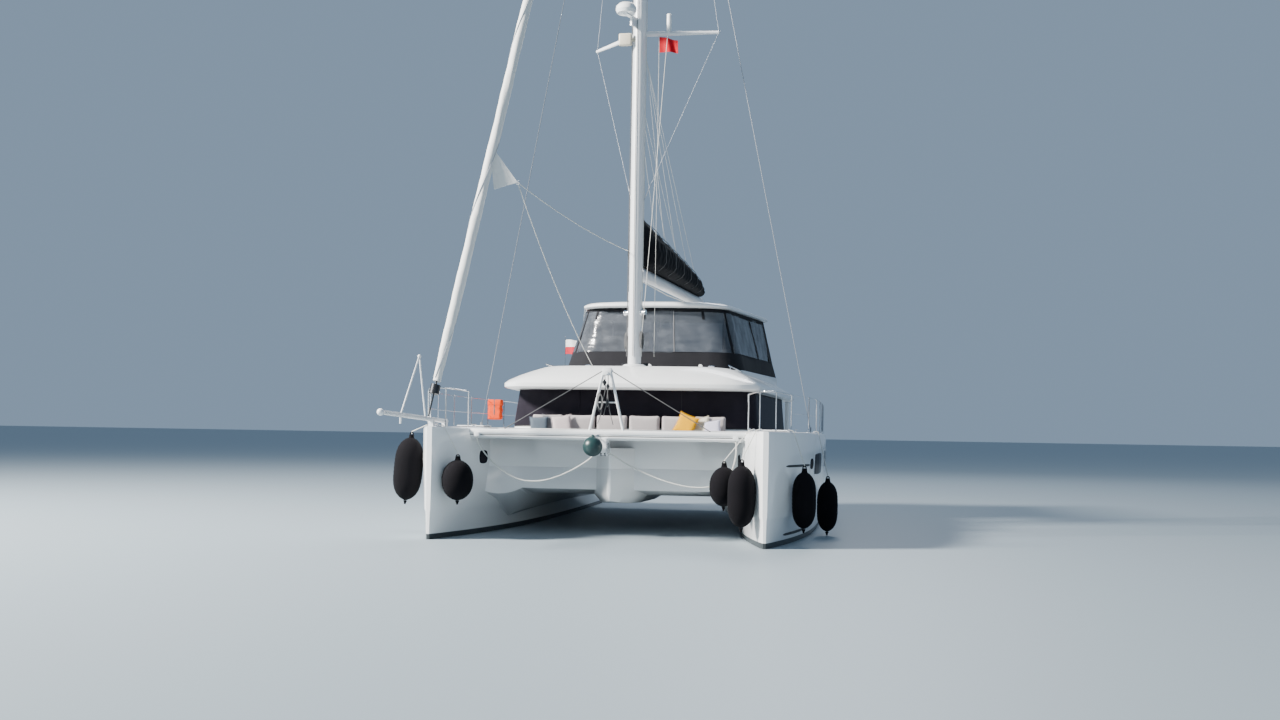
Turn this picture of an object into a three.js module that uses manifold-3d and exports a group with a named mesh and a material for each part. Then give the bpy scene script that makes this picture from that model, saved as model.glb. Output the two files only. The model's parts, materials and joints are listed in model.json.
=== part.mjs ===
// Sailing catamaran with a flybridge, afloat at anchor.
// Millimetres, +Z up, bows towards -Y, port side towards +X.
// The origin is at the waterline, amidships, on the centreline. "aft" is the distance behind the bows.

import * as THREE from 'three';
import { mergeVertices } from 'three/addons/utils/BufferGeometryUtils.js';
import Module from 'manifold-3d';

// Driving dimensions

const LENGTH = 14000;
const HULL_X = 3050;
const DECK_Z = 2060;
const SOLE_Z = 1300;
const TUNNEL_Z = 750;
const FACE_GAP = 0.3;
const TIGHT = 0.01;
const SPARE = 50;
const PORT = 1;
const STARBOARD = -1;
const SIDES = [['port', PORT], ['starboard', STARBOARD]];

const y = (aft) => aft - LENGTH / 2;

// Half-breadths of one hull by distance aft of the bow
const HULL_COLUMNS = 4;
const HULL_TABLE = [
  // aft, waterline, deck, draught
  [0, 22, 48, 260],
  [90, 62, 112, 330],
  [300, 118, 196, 420],
  [900, 262, 400, 560],
  [2000, 480, 660, 650],
  [3500, 680, 830, 690],
  [5500, 800, 920, 700],
  [8000, 830, 950, 690],
  [10500, 800, 940, 610],
  [12500, 740, 900, 470],
  [14000, 690, 860, 330],
];
const HULL_STATIONS = 22;
const HULL_STATION_POWER = 1.8;
const BILGE = [
  // share of the waterline breadth, share of the draught
  [0, -1],
  [0.34, -0.95],
  [0.64, -0.8],
  [0.88, -0.46],
  [1, 0],
];
const CHINE = { low: 500, high: 545, lowShare: 0.3, highShare: 0.62 };
const TOPSIDE_Z = 1450;
const GUNWALE = { radius: 55, steps: 3 };

const STERN = {
  start: 12150, treads: 4, tread: 330, platformZ: 380, halfWidth: 560, wallLength: 560, wallLow: 60, wallHigh: 180,
};
const KEEL = {
  front: 5100, back: 8100, top: 530, bottom: 1350, halfTop: 130, halfBottom: 95,
  nose: 420, tail: 900, rakeFront: 280, rakeBack: 60,
};

const BRIDGE = { front: 2300, back: 12300, flat: 1850, reach: 2650 };
const BRIDGE_RINGS = [
  // aft, underside's height in the middle, height where it meets the hulls
  [1350, 1050, 960],
  [2300, 880, 640],
  [3200, TUNNEL_Z, 200],
  [BRIDGE.back, TUNNEL_Z, 200],
];
const HAUNCH_STEPS = 8;
// The front wall curves forward into both hulls, from the wall's straight middle to a point on the hull
const WALL_CURVE = { middleHalf: 1500, cornerX: 2380, tipX: 2640, tipAft: 1400, top: 1840, steps: 8 };
const NACELLE = [
  // aft, half-width at the top, half-width at the bottom, bottom height
  [1640, 22, 8, 700],
  [2000, 240, 130, 655],
  [2420, 430, 290, 620],
  [3200, 520, 380, 600],
  [5200, 540, 390, 580],
  [7600, 480, 340, 620],
  [9400, 240, 160, 735],
];
const NACELLE_TOP = 1700;
const NACELLE_BILGE = 160;

const FOREDECK = {
  back: 4010, wellHalf: 2050, wellFront: 2480, wellBack: 3260, wellZ: 1520, seatZ: 1790, seatBack: 3885,
};
const CROSSBEAM = { front: 1080, back: 1320, bottom: 1850, top: 2020, reach: 2900, bevel: 40 };
const LONGERON = { half: 80, bottom: 1880, top: 2010 };
const TRAMPOLINE = { z: 1858, thickness: 16, reach: 2700, edge: 15 };

const STRIKER = {
  foot: 320, apexZ: 3190, apexHalf: 55, aft: 1200, leg: 26, lift: 8, plate: 80, plateThickness: 14, barZ: 2560,
};
const ROLLER = { half: 60, front: 880, bottom: 1575 };
const FAIRLEAD = { x: 2440, half: 45, front: 960, bottom: 1885, top: 1965 };

// A plan is an outline seen from above: a bulging front, sides that may widen aft, and rounded corners
const CABIN = {
  plan: { front: 4050, back: 10200, frontHalf: 2620, backHalf: 2980, frontRadius: 620, backRadius: 150, bulge: 150 },
  rake: 230, tumblehome: 80, top: 2990, wall: 60, windowLow: 2250, windowHigh: 2880,
  windows: [[3500, 7150], [7330, 9650]],
};
const CABIN_GLASS = { thickness: 8, overlap: 60, back: 9800 };
const ROOF = {
  plan: { front: 3560, back: 12110, frontHalf: 2700, backHalf: 3130, frontRadius: 520, backRadius: 420, bulge: 150 },
  top: 3400, skin: 85, roundShare: 0.35, hollowLowHalf: 2400, hollowHighHalf: 1900,
};
const ROOF_RINGS = [
  // height, inset from the plan
  [2890, 60],
  [2930, 0],
  [3010, 0],
  [3080, 70],
  [3190, 250],
  [3300, 470],
  [3375, 640],
  [ROOF.top, 720],
];
const ROOF_HOLLOWS = [[4450, 10110], [10290, 11420]];
const ROOF_POST = { x: 2960, aft: 11640, radius: 60, top: 3040 };
const ARC_STEPS = 6;
const FRONT_STEPS = 6;

const BULKHEAD = {
  half: 2090, thickness: 60, doorLeft: -70, doorRight: 870, doorLow: 1340, doorHigh: 2900, sill: 1750,
  windowHigh: 2850, mullion: 120, edge: 180, sideGap: 5,
};
const DOOR = {
  overlap: 50, thickness: 36, gap: 6, low: 1318, high: 2945, stile: 70, travel: 940,
  pane: 8, rebate: 5, railEnd: 100, railDepth: 60, railHeight: 30,
};

const SALOON_SOFA = { left: 700, right: 2040, front: 5200, back: 8200, seatZ: 1750, backZ: 2180, backWidth: 380 };
const GALLEY = { left: -2040, right: -1300, front: 5200, back: 9400, top: 2210 };

const COAMING = {
  plan: { front: 7035, back: 11560, frontHalf: 2155, backHalf: 2690, frontRadius: 725, backRadius: 275, bulge: 200 },
  low: 3150, top: 3495, wall: 80,
};
const ENCLOSURE = {
  inset: 25, low: COAMING.top + FACE_GAP, high: 4929.7, skin: 14, windowLow: 3890, windowHigh: 4840,
  highPlan: {
    front: 7480, back: 11250, frontHalf: 1740, backHalf: 2330, frontRadius: 600, backRadius: 250, bulge: 230,
  },
  frontWindow: 1800, windows: [[8180, 9560], [9660, 10820]], entrance: 1250, entranceFront: 10100, lintel: 90,
  clear: 4, clearBack: 10900,
};
const HARDTOP = {
  plan: { front: 7250, back: 11450, frontHalf: 1760, backHalf: 2430, frontRadius: 600, backRadius: 300, bulge: 250 },
};
const HARDTOP_RINGS = [
  // height, inset from the plan
  [4930, 40],
  [4955, 0],
  [5000, 0],
  [5040, 60],
  [5075, 300],
  [5095, 700],
];
const HARDTOP_POST = { x: 1600, front: 7950, back: 10900, radius: 26, railRadius: 21, railZ: 4880, top: 4970 };
const HELM = {
  x: -850, half: 480, front: 7950, back: 8380, top: 4330, wheelAft: 8490, wheelZ: 4140,
  slopeFront: 90, slopeSide: 80, panelBack: 120, panelTop: 60, panelLow: 260, shaftStart: 60,
};
const WHEEL = { radius: 330, rim: 15, hub: 52, hubLength: 46, spokes: 5, spoke: 11, shaft: 24 };
const HELM_SEAT = {
  half: 470, front: 9050, back: 9540, seatZ: 4030, seatDepth: 130, backZ: 4560, backDepth: 130,
  baseShare: 0.8, baseInset: 60,
};
const SUNBED = { left: 100, right: 1560, front: 7900, back: 10000, top: 3830 };

const MAST = { aft: 4470, halfWidth: 140, halfDepth: 170, top: 21800, sides: 16 };
// The mast stands turned a little, so its arms and its front bracket point off the boat's own axes
const MAST_TURN = 22;
const SPREADER = { z: 10450, length: 1680, sweepDegrees: 25, rise: 20, root: 60, tip: 34 };
const GOOSENECK = { aft: 4720, z: 5440, pin: 34, fork: 70 };
const BOOM = { length: 6500, halfWidth: 105, halfDepth: 135, swingDegrees: 5.8, start: 110, sides: 16 };
const SAILBAG = [
  // distance along the boom, half-width, top height above the boom's axis
  [90, 120, 1260],
  [500, 360, 1210],
  [2200, 420, 1000],
  [4400, 360, 780],
  [6250, 170, 520],
];
const RADAR = {
  z: 10730, reach: 570, radius: 220, height: 215,
  shelfHalf: 50, shelf: 24, kneeHalf: 20, kneeReach: 370, kneeLow: 190,
};

const SPRIT = {
  butt: [-3010, 900, 2158], tip: [-3190, -2200, 2270], radius: 42, knob: 62, tack: 20, tackSlope: 0.28,
};
const SPRIT_STRUT = { apex: [-3120, -430, 3300], feet: [-1330, -170], leg: 17, head: 34 };
const STAY = { foot: [-3062, -30, 2243], head: [-60, 4290, 21350] };
const FURLER = { foil: 16, drumStart: 420, drumLength: 170, drumRadius: 92 };
const HEADSAIL = { start: 660, end: 19100, lowRadius: 74, fullRadius: 98, topRadius: 52 };
const CLEW = { z: 6990, height: 880, width: 470 };
const SHROUD = { deckX: 3700, deckAft: 5850, headZ: 19600, radius: 7, plate: 14, seat: 30 };

const RAIL = { height: 690, inset: 75, radius: 13, wire: 5, first: 1150, last: 11750, posts: 8 };
const PULPIT = {
  front: 330, back: 1150, shoulder: 490, legAft: 500, half: 150, legX: 145, rise: 22, tube: 13, steps: 14,
};

const FENDERS = [
  // name, side, board (outer +1 or inner -1), aft, radius, body length, centre height, distance off the hull
  ['fender_starboard_outer', STARBOARD, 1, 1500, 280, 1250, 1230, 8],
  ['fender_starboard_ball', STARBOARD, -1, 250, 290, 760, 1080, 8],
  ['fender_port_ball', PORT, -1, 680, 266, 740, 1050, 192],
  ['fender_port_inner', PORT, -1, 255, 250, 1130, 900, 8],
  ['fender_port_fore', PORT, 1, 1000, 220, 1060, 825, 8],
  ['fender_port_aft', PORT, 1, 3600, 210, 1030, 590, 8],
];
const FENDER_LINE = { radius: 7, cleatInset: 70, edge: 14 };
const BALL = { x: -150, aft: 640, z: 1735, radius: 185, armZ: 1945 };

// Routes of the two slack bridle ropes, as x, distance aft, height
const BRIDLE_RADIUS = 13;
const BRIDLE_ROUTES = {
  bridle_starboard: [
    [-2440, 1015, 1882], [-2425, 1012, 1800], [-2370, 1005, 1700], [-2285, 995, 1580], [-2170, 985, 1455],
    [-2030, 975, 1330], [-1870, 968, 1215], [-1690, 962, 1125], [-1500, 958, 1075], [-1300, 955, 1065],
    [-1100, 952, 1090], [-900, 950, 1150], [-700, 948, 1235], [-500, 946, 1340], [-300, 945, 1470],
    [-160, 945, 1590], [-65.5, 945, 1622],
  ],
  bridle_port: [
    [2440, 1015, 1882], [2452, 1012, 1780], [2450, 1005, 1640], [2425, 995, 1480], [2370, 985, 1320],
    [2280, 975, 1180], [2150, 968, 1085], [1980, 962, 1030], [1780, 958, 1010], [1560, 955, 1025],
    [1330, 952, 1070], [1100, 950, 1135], [870, 948, 1220], [640, 946, 1320], [410, 945, 1435],
    [200, 945, 1565], [65.5, 945, 1622],
  ],
};

const RUDDER = {
  aft: 13080, stock: 34, boss: 75, bossZ: -500, top: -530, bottom: -1230, chord: 620, lead: 150, half: 48,
};
const SAILDRIVE = {
  aft: 10600, chord: 330, half: 62, bottom: -985, gearRadius: 88, gearLength: 430, padZ: -640, pad: 195,
};
const PROPELLER = { hub: 62, hubLength: 130, radius: 225, blades: 3, bladeHalf: 66, thickness: 12, pitchDegrees: 32 };
const HATCH = { front: 2700, length: 560, half: 270, thickness: 26, hinge: 14 };
const COCKPIT_SEAT = { half: 1500, front: 11720, back: 12290, top: 1740, backTop: 2050, backDepth: 140 };
const COCKPIT_TABLE = { x: -950, half: 420, front: 10850, back: 11400, z: 2030, top: 34, leg: 55 };
const RAIL_BAG = { post: 4, half: 170, depth: 240, low: 2265, high: 2745 };
const FLAG = { x: -3100, aft: 12050, staffTop: 4620, staff: 14, width: 560, low: 4130, high: 4520, thickness: 8 };

// Finishes

const finish = (color, roughness, metalness = 0) => new THREE.MeshStandardMaterial({ color, roughness, metalness });
const GELCOAT = finish(0xf1f2f0, 0.25);
const DECK_WHITE = finish(0xe9eae8, 0.5);
const BLACK_FABRIC = finish(0x121215, 0.9);
const GREY_FABRIC = finish(0xb3aeac, 0.9);
const PALE_FABRIC = finish(0xcfcbc9, 0.9);
const AMBER_FABRIC = finish(0xf0a010, 0.85);
const BLUE_FABRIC = finish(0x6c7784, 0.9);
const SAIL_WHITE = finish(0xe9e8e2, 0.8);
const ORANGE_FABRIC = finish(0xe8431a, 0.8);
const FLAG_CLOTH = finish(0xe04040, 0.8);
const STEEL = finish(0xc4c8cc, 0.2, 1);
const ALLOY = finish(0xd9dcde, 0.35, 0.6);
const TINTED = finish(0x1c1a20, 0.1);
const CLEAR_VINYL = finish(0x8f9498, 0.15);
const ROPE = finish(0xe6e6e2, 0.9);
const RUBBER = finish(0x15352f, 0.5);
const TEAK = finish(0x9a7a58, 0.6);
const ANTIFOUL = finish(0x10131c, 0.7);
const BRONZE = finish(0x9b7a45, 0.35, 1);

// Solids

const wasm = await Module();
wasm.setup();

function toSolid(geometry) {
  const bare = geometry.clone();
  bare.deleteAttribute('normal');
  bare.deleteAttribute('uv');
  const merged = mergeVertices(bare, TIGHT);
  return new wasm.Manifold(new wasm.Mesh({
    numProp: 3,
    vertProperties: new Float32Array(merged.attributes.position.array),
    triVerts: new Uint32Array(merged.index.array),
  }));
}

function toGeometry(solid) {
  const mesh = solid.getMesh();
  const geometry = new THREE.BufferGeometry();
  geometry.setAttribute('position', new THREE.BufferAttribute(mesh.vertProperties, 3));
  geometry.setIndex(new THREE.BufferAttribute(mesh.triVerts, 1));
  return geometry;
}

const join = (first, ...more) => toGeometry(more.reduce((sum, part) => sum.add(toSolid(part)), toSolid(first)));
const cut = (body, ...tools) => toGeometry(tools.reduce((rest, tool) => rest.subtract(toSolid(tool)), toSolid(body)));
const common = (first, second) => toGeometry(toSolid(first).intersect(toSolid(second)));

const point = ([x, aft, z]) => new THREE.Vector3(x, y(aft), z);

// A block between two corners given as x, distance aft, height
function block([x0, aft0, z0], [x1, aft1, z1]) {
  const geometry = new THREE.BoxGeometry(Math.abs(x1 - x0), Math.abs(aft1 - aft0), Math.abs(z1 - z0));
  return geometry.translate((x0 + x1) / 2, y((aft0 + aft1) / 2), (z0 + z1) / 2);
}

// A straight round bar between two points, tapered if its ends differ
function bar(from, to, radius, sides = 8, endRadius = radius) {
  const along = new THREE.Vector3().subVectors(to, from);
  const geometry = new THREE.CylinderGeometry(endRadius, radius, along.length(), sides);
  const turn = new THREE.Quaternion().setFromUnitVectors(new THREE.Vector3(0, 1, 0), along.clone().normalize());
  const middle = new THREE.Vector3().addVectors(from, to).multiplyScalar(0.5);
  return geometry.applyQuaternion(turn).translate(middle.x, middle.y, middle.z);
}

// A round tube along a smooth line through the points
function tube(points, radius, steps, sides = 8) {
  const section = new THREE.Shape();
  for (let i = 0; i < sides; i += 1) {
    const angle = (2 * Math.PI * i) / sides;
    const [a, b] = [radius * Math.cos(angle), radius * Math.sin(angle)];
    if (i === 0) section.moveTo(a, b);
    else section.lineTo(a, b);
  }
  section.closePath();
  return new THREE.ExtrudeGeometry(section, { steps, extrudePath: new THREE.CatmullRomCurve3(points) });
}

// Signed volume decides which way the faces of a loft point
function signedVolume(positions, faces) {
  const corner = (i) => new THREE.Vector3(...positions.slice(3 * i, 3 * i + 3));
  return faces.reduce((sum, [a, b, c]) => sum + corner(a).dot(corner(b).cross(corner(c))), 0);
}

// Triangles that close one end ring of a loft, along the ring's own direction
function capFaces(ring) {
  const normal = new THREE.Vector3();
  ring.forEach((p, i) => normal.add(new THREE.Vector3().crossVectors(p, ring[(i + 1) % ring.length])));
  const sizes = [Math.abs(normal.x), Math.abs(normal.y), Math.abs(normal.z)];
  const drop = sizes.indexOf(Math.max(...sizes));
  const flat = ring.map((p) => new THREE.Vector2(...[p.x, p.y, p.z].filter((_, axis) => axis !== drop)));
  const turn = Math.sign(THREE.ShapeUtils.area(flat));
  return THREE.ShapeUtils.triangulateShape(flat, []).map(([a, b, c]) => {
    const same = Math.sign(THREE.ShapeUtils.area([flat[a], flat[b], flat[c]])) === turn;
    return same ? [a, b, c] : [a, c, b];
  });
}

// A closed solid through rings that all have the same number of points
function loft(rings) {
  const count = rings[0].length;
  const positions = rings.flat().flatMap((p) => [p.x, p.y, p.z]);
  const faces = [];
  for (let r = 0; r < rings.length - 1; r += 1) {
    for (let i = 0; i < count; i += 1) {
      const a = r * count + i;
      const b = r * count + ((i + 1) % count);
      faces.push([a, b, b + count], [a, b + count, a + count]);
    }
  }
  const last = (rings.length - 1) * count;
  capFaces(rings[0]).forEach(([a, b, c]) => faces.push([a, c, b]));
  capFaces(rings.at(-1)).forEach(([a, b, c]) => faces.push([a + last, b + last, c + last]));
  const outward = signedVolume(positions, faces) > 0;
  const geometry = new THREE.BufferGeometry();
  geometry.setAttribute('position', new THREE.Float32BufferAttribute(positions, 3));
  geometry.setIndex(faces.flatMap(([a, b, c]) => (outward ? [a, b, c] : [a, c, b])));
  return geometry;
}

// A plan drawn in all round, with its corners rounder by the amount given
function drawnIn(plan, inset, rounder = -inset) {
  return {
    front: plan.front + inset,
    back: plan.back - inset,
    frontHalf: plan.frontHalf - inset,
    backHalf: plan.backHalf - inset,
    frontRadius: plan.frontRadius + rounder,
    backRadius: plan.backRadius + rounder,
    bulge: plan.bulge,
  };
}

// The plan between two others
function mixedPlan(low, high, share) {
  return Object.fromEntries(Object.keys(low).map((key) => [key, low[key] + share * (high[key] - low[key])]));
}

// The level ring of a plan at one height
function levelRing({ front, back, frontHalf, backHalf, frontRadius, backRadius, bulge }, z) {
  const corners = [
    [frontHalf - frontRadius, front + frontRadius, frontRadius, -Math.PI / 2],
    [backHalf - backRadius, back - backRadius, backRadius, 0],
    [-backHalf + backRadius, back - backRadius, backRadius, Math.PI / 2],
    [-frontHalf + frontRadius, front + frontRadius, frontRadius, Math.PI],
  ];
  const arcs = corners.flatMap(([cx, aft, radius, start]) => Array.from({ length: ARC_STEPS + 1 }, (_, i) => {
    const angle = start + (i / ARC_STEPS) * (Math.PI / 2);
    return [cx + radius * Math.cos(angle), aft + radius * Math.sin(angle)];
  }));
  const middle = Array.from({ length: FRONT_STEPS - 1 }, (_, i) => (
    [((2 * (i + 1)) / FRONT_STEPS - 1) * (frontHalf - frontRadius), front]
  ));
  return [...arcs, ...middle].map(([x, aft]) => {
    const forward = aft < front + frontRadius ? bulge * (1 - (x / frontHalf) ** 2) : 0;
    return new THREE.Vector3(x, y(aft - forward), z);
  });
}

// A thin wall between two insets of one family of rings, open at the bottom and the top
function shell(ringAt, low, high, outer, inner) {
  const shifted = (z, by) => ringAt(z, inner).map((p) => p.clone().setZ(p.z + by));
  const through = [shifted(low, -SPARE), ringAt(low, inner), ringAt(high, inner), shifted(high, SPARE)];
  return cut(loft([ringAt(low, outer), ringAt(high, outer)]), loft(through));
}

// A turned body on a vertical axis, from a profile of radius and height
function turned(profile, segments = 14) {
  const geometry = new THREE.LatheGeometry(profile.map(([r, h]) => new THREE.Vector2(r, h)), segments);
  return geometry.rotateX(Math.PI / 2);
}

const boat = new THREE.Group();

function add(name, geometry, material, parent = boat) {
  const mesh = new THREE.Mesh(geometry, material);
  mesh.name = name;
  parent.add(mesh);
  return mesh;
}

// Hulls

const hullLines = new THREE.CubicInterpolant(
  HULL_TABLE.map(([aft]) => aft),
  HULL_TABLE.flatMap(([, waterline, deck, draught]) => [waterline, deck, draught]),
  HULL_COLUMNS - 1,
  new Float32Array(HULL_COLUMNS - 1),
);

function hullAt(aft) {
  const [waterline, deck, draught] = hullLines.evaluate(aft);
  return { waterline, deck, draught };
}

// Half of a hull section, from the keel up to the deck
function halfSection(aft, grow) {
  const { waterline, deck, draught } = hullAt(aft);
  const flare = deck - waterline;
  const edge = Math.min(GUNWALE.radius, deck / 2);
  const bilge = BILGE.map(([across, down]) => [across * waterline, down * draught]);
  const topside = [
    [waterline + CHINE.lowShare * flare, CHINE.low],
    [waterline + CHINE.highShare * flare, CHINE.high],
    [deck, TOPSIDE_Z],
  ];
  const gunwale = Array.from({ length: GUNWALE.steps + 1 }, (_, i) => {
    const angle = ((i / GUNWALE.steps) * Math.PI) / 2;
    return [deck - edge + edge * Math.cos(angle), DECK_Z - edge + edge * Math.sin(angle)];
  });
  return [...bilge, ...topside, ...gunwale].map(([across, z]) => [across === 0 ? 0 : across + grow, z]);
}

function hullRing(side, aft, grow) {
  const half = halfSection(aft, grow);
  const inner = half.slice(1).reverse().map(([across, z]) => [-across, z]);
  return [...half, ...inner].map(([across, z]) => new THREE.Vector3(side * (HULL_X + across), y(aft), z));
}

function plainHull(side, grow = 0) {
  const rings = Array.from({ length: HULL_STATIONS + 1 }, (_, i) => {
    const aft = LENGTH * (i / HULL_STATIONS) ** HULL_STATION_POWER;
    return hullRing(side, aft, grow);
  });
  return loft(rings);
}

const hullCutters = SIDES.map(([, side]) => plainHull(side, FACE_GAP));
const besideHulls = (geometry) => cut(geometry, ...hullCutters);

function sternCuts(side) {
  const rise = (DECK_Z - STERN.platformZ) / (STERN.treads + 1);
  const cuts = Array.from({ length: STERN.treads + 1 }, (_, i) => {
    const front = STERN.start + i * STERN.tread;
    const z = DECK_Z - (i + 1) * rise;
    return block(
      [side * HULL_X - STERN.halfWidth, front, z],
      [side * HULL_X + STERN.halfWidth, LENGTH + SPARE, DECK_Z + SPARE],
    );
  });
  const slope = [
    [STERN.start + STERN.tread, DECK_Z + SPARE], [LENGTH + SPARE, DECK_Z + SPARE],
    [LENGTH + SPARE, STERN.platformZ + STERN.wallLow], [LENGTH - STERN.wallLength, STERN.platformZ + STERN.wallHigh],
  ];
  const wall = new THREE.Shape(slope.map(([aft, z]) => new THREE.Vector2(y(aft), z)));
  const wedge = new THREE.ExtrudeGeometry(wall, { depth: LENGTH / 4, bevelEnabled: false });
  wedge.rotateX(Math.PI / 2).rotateZ(Math.PI / 2);
  wedge.translate(side * HULL_X - LENGTH / 8, 0, 0);
  return [...cuts, wedge];
}

const keelRing = (side, half, front, back, z) => {
  const [nose, tail] = [front + KEEL.nose, back - KEEL.tail];
  const shape = [[0, front], [half, nose], [half, tail], [0, back], [-half, tail], [-half, nose]];
  return shape.map(([across, aft]) => new THREE.Vector3(side * HULL_X + across, y(aft), z));
};

function keel(side) {
  return loft([
    keelRing(side, KEEL.halfTop, KEEL.front, KEEL.back, -KEEL.top),
    keelRing(side, KEEL.halfBottom, KEEL.front + KEEL.rakeFront, KEEL.back - KEEL.rakeBack, -KEEL.bottom),
  ]);
}

// Round pads under the hull that carry the rudder and the drive leg
function underPad(side, aft, radius, z) {
  return bar(point([side * HULL_X, aft, 0]), point([side * HULL_X, aft, z]), radius, 14);
}

function hull(side) {
  const shell = join(
    plainHull(side),
    keel(side),
    underPad(side, RUDDER.aft, RUDDER.boss, RUDDER.bossZ),
    underPad(side, SAILDRIVE.aft, SAILDRIVE.pad, SAILDRIVE.padZ),
  );
  return cut(shell, ...sternCuts(side));
}

for (const [name, side] of SIDES) {
  add(`hull_${name}`, hull(side), GELCOAT);
}

// Platform between the hulls

function bridgeRing([aft, middleZ, sideZ]) {
  const haunch = Array.from({ length: HAUNCH_STEPS + 1 }, (_, i) => {
    const angle = ((i / HAUNCH_STEPS) * Math.PI) / 2;
    const across = BRIDGE.reach - (BRIDGE.reach - BRIDGE.flat) * Math.sin(angle);
    return [across, middleZ - (middleZ - sideZ) * Math.cos(angle) ** 2];
  });
  const right = [[BRIDGE.reach, SOLE_Z], ...haunch];
  const left = right.map(([across, z]) => [-across, z]).reverse();
  return [...right, ...left].map(([across, z]) => new THREE.Vector3(across, y(aft), z));
}

const nacelleSolid = loft(NACELLE.map(([aft, top, bottom, low]) => [
  [top, NACELLE_TOP], [top, low + NACELLE_BILGE], [bottom, low],
  [-bottom, low], [-top, low + NACELLE_BILGE], [-top, NACELLE_TOP],
].map(([across, z]) => new THREE.Vector3(across, y(aft), z))));

// Everything behind the curved front wall, between two heights
function behindWall(low, high) {
  const { middleHalf, cornerX, tipX, tipAft, steps } = WALL_CURVE;
  const outline = new THREE.Shape();
  outline.moveTo(BRIDGE.reach, y(LENGTH));
  outline.lineTo(-BRIDGE.reach, y(LENGTH));
  outline.lineTo(-BRIDGE.reach, y(tipAft));
  outline.lineTo(-tipX, y(tipAft));
  outline.quadraticCurveTo(-cornerX, y(BRIDGE.front), -middleHalf, y(BRIDGE.front));
  outline.lineTo(middleHalf, y(BRIDGE.front));
  outline.quadraticCurveTo(cornerX, y(BRIDGE.front), tipX, y(tipAft));
  outline.lineTo(BRIDGE.reach, y(tipAft));
  outline.closePath();
  const body = new THREE.ExtrudeGeometry(outline, { depth: high - low, curveSegments: steps, bevelEnabled: false });
  return body.translate(0, 0, low);
}

const nacelleBelow = (front, back, low, high) => (
  common(nacelleSolid, block([-BRIDGE.flat, front, low], [BRIDGE.flat, back, high]))
);

function bridgedeck() {
  const slab = loft(BRIDGE_RINGS.map(bridgeRing));
  const nacelle = nacelleBelow(0, LENGTH, 0, SOLE_Z);
  return besideHulls(join(common(slab, behindWall(0, SOLE_Z + SPARE)), nacelle));
}

function foredeck() {
  const { back, wellHalf, wellFront, wellBack, wellZ, seatZ, seatBack } = FOREDECK;
  const low = SOLE_Z + FACE_GAP;
  const body = block([-BRIDGE.reach, BRIDGE.front, low], [BRIDGE.reach, back, DECK_Z]);
  const curves = common(
    behindWall(low, WALL_CURVE.top),
    block([-BRIDGE.reach, 0, low], [BRIDGE.reach, BRIDGE.front + SPARE, WALL_CURVE.top]),
  );
  const nose = nacelleBelow(0, wellFront - SPARE, low, NACELLE_TOP);
  const top = DECK_Z + SPARE;
  const well = block([-wellHalf, wellFront, wellZ], [wellHalf, wellBack, top]);
  const seat = block([-wellHalf, wellBack - SPARE, seatZ], [wellHalf, seatBack, top]);
  return besideHulls(cut(join(body, curves, nose), well, seat));
}

function crossbeam() {
  const { front, back, bottom, top, bevel, reach } = CROSSBEAM;
  const outline = [
    [front + bevel, bottom], [back - bevel, bottom], [back, bottom + bevel], [back, top - bevel],
    [back - bevel, top], [front + bevel, top], [front, top - bevel], [front, bottom + bevel],
  ];
  const ends = [-reach, reach].map((x) => outline.map(([aft, z]) => new THREE.Vector3(x, y(aft), z)));
  const spar = block(
    [-LONGERON.half, back - bevel, LONGERON.bottom],
    [LONGERON.half, BRIDGE.front - FACE_GAP, LONGERON.top],
  );
  const roller = block([-ROLLER.half, ROLLER.front, ROLLER.bottom], [ROLLER.half, back - bevel, bottom + bevel]);
  const leads = SIDES.map(([, side]) => block(
    [side * FAIRLEAD.x - FAIRLEAD.half, FAIRLEAD.front, FAIRLEAD.bottom],
    [side * FAIRLEAD.x + FAIRLEAD.half, front + bevel, FAIRLEAD.top],
  ));
  return besideHulls(join(loft(ends), spar, roller, ...leads));
}

// One net that passes under the centre spar
function trampoline() {
  const { z, thickness, reach, edge } = TRAMPOLINE;
  return besideHulls(block([-reach, CROSSBEAM.back + edge, z], [reach, BRIDGE.front - edge, z + thickness]));
}

function striker() {
  const { foot, apexZ, apexHalf, aft, leg, lift, plate, plateThickness, barZ } = STRIKER;
  const low = CROSSBEAM.top + FACE_GAP;
  const legs = SIDES.map(([, side]) => (
    bar(point([side * foot, aft, low + lift]), point([side * apexHalf, aft, apexZ]), leg)
  ));
  const plates = SIDES.map(([, side]) => block(
    [side * foot - plate / 2, aft - plate / 2, low],
    [side * foot + plate / 2, aft + plate / 2, low + plateThickness],
  ));
  const head = block([-apexHalf - leg, aft - leg, apexZ - 60], [apexHalf + leg, aft + leg, apexZ + 20]);
  const reachAtBar = foot + ((barZ - low) / (apexZ - low)) * (apexHalf - foot);
  const tie = bar(point([-reachAtBar, aft, barZ]), point([reachAtBar, aft, barZ]), leg / 2);
  return join(head, ...legs, ...plates, tie);
}

add('bridgedeck', bridgedeck(), GELCOAT);
add('foredeck', foredeck(), GELCOAT);
add('crossbeam', crossbeam(), GELCOAT);
add('crossbeam_striker', striker(), ALLOY);
add('trampoline', trampoline(), BLACK_FABRIC);

// Cabin

// The cabin's outline at one height, drawn in by an inset
function cabinRing(z, inset) {
  const { plan, rake, tumblehome, top } = CABIN;
  const share = (z - DECK_Z) / (top - DECK_Z);
  const leaning = {
    ...plan,
    front: plan.front + share * rake,
    frontHalf: plan.frontHalf - share * tumblehome,
    backHalf: plan.backHalf - share * tumblehome,
  };
  return levelRing(drawnIn(leaning, inset), z);
}

const cabinShell = (outer, inner) => shell(cabinRing, DECK_Z + FACE_GAP, CABIN.top, outer, inner);

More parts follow.
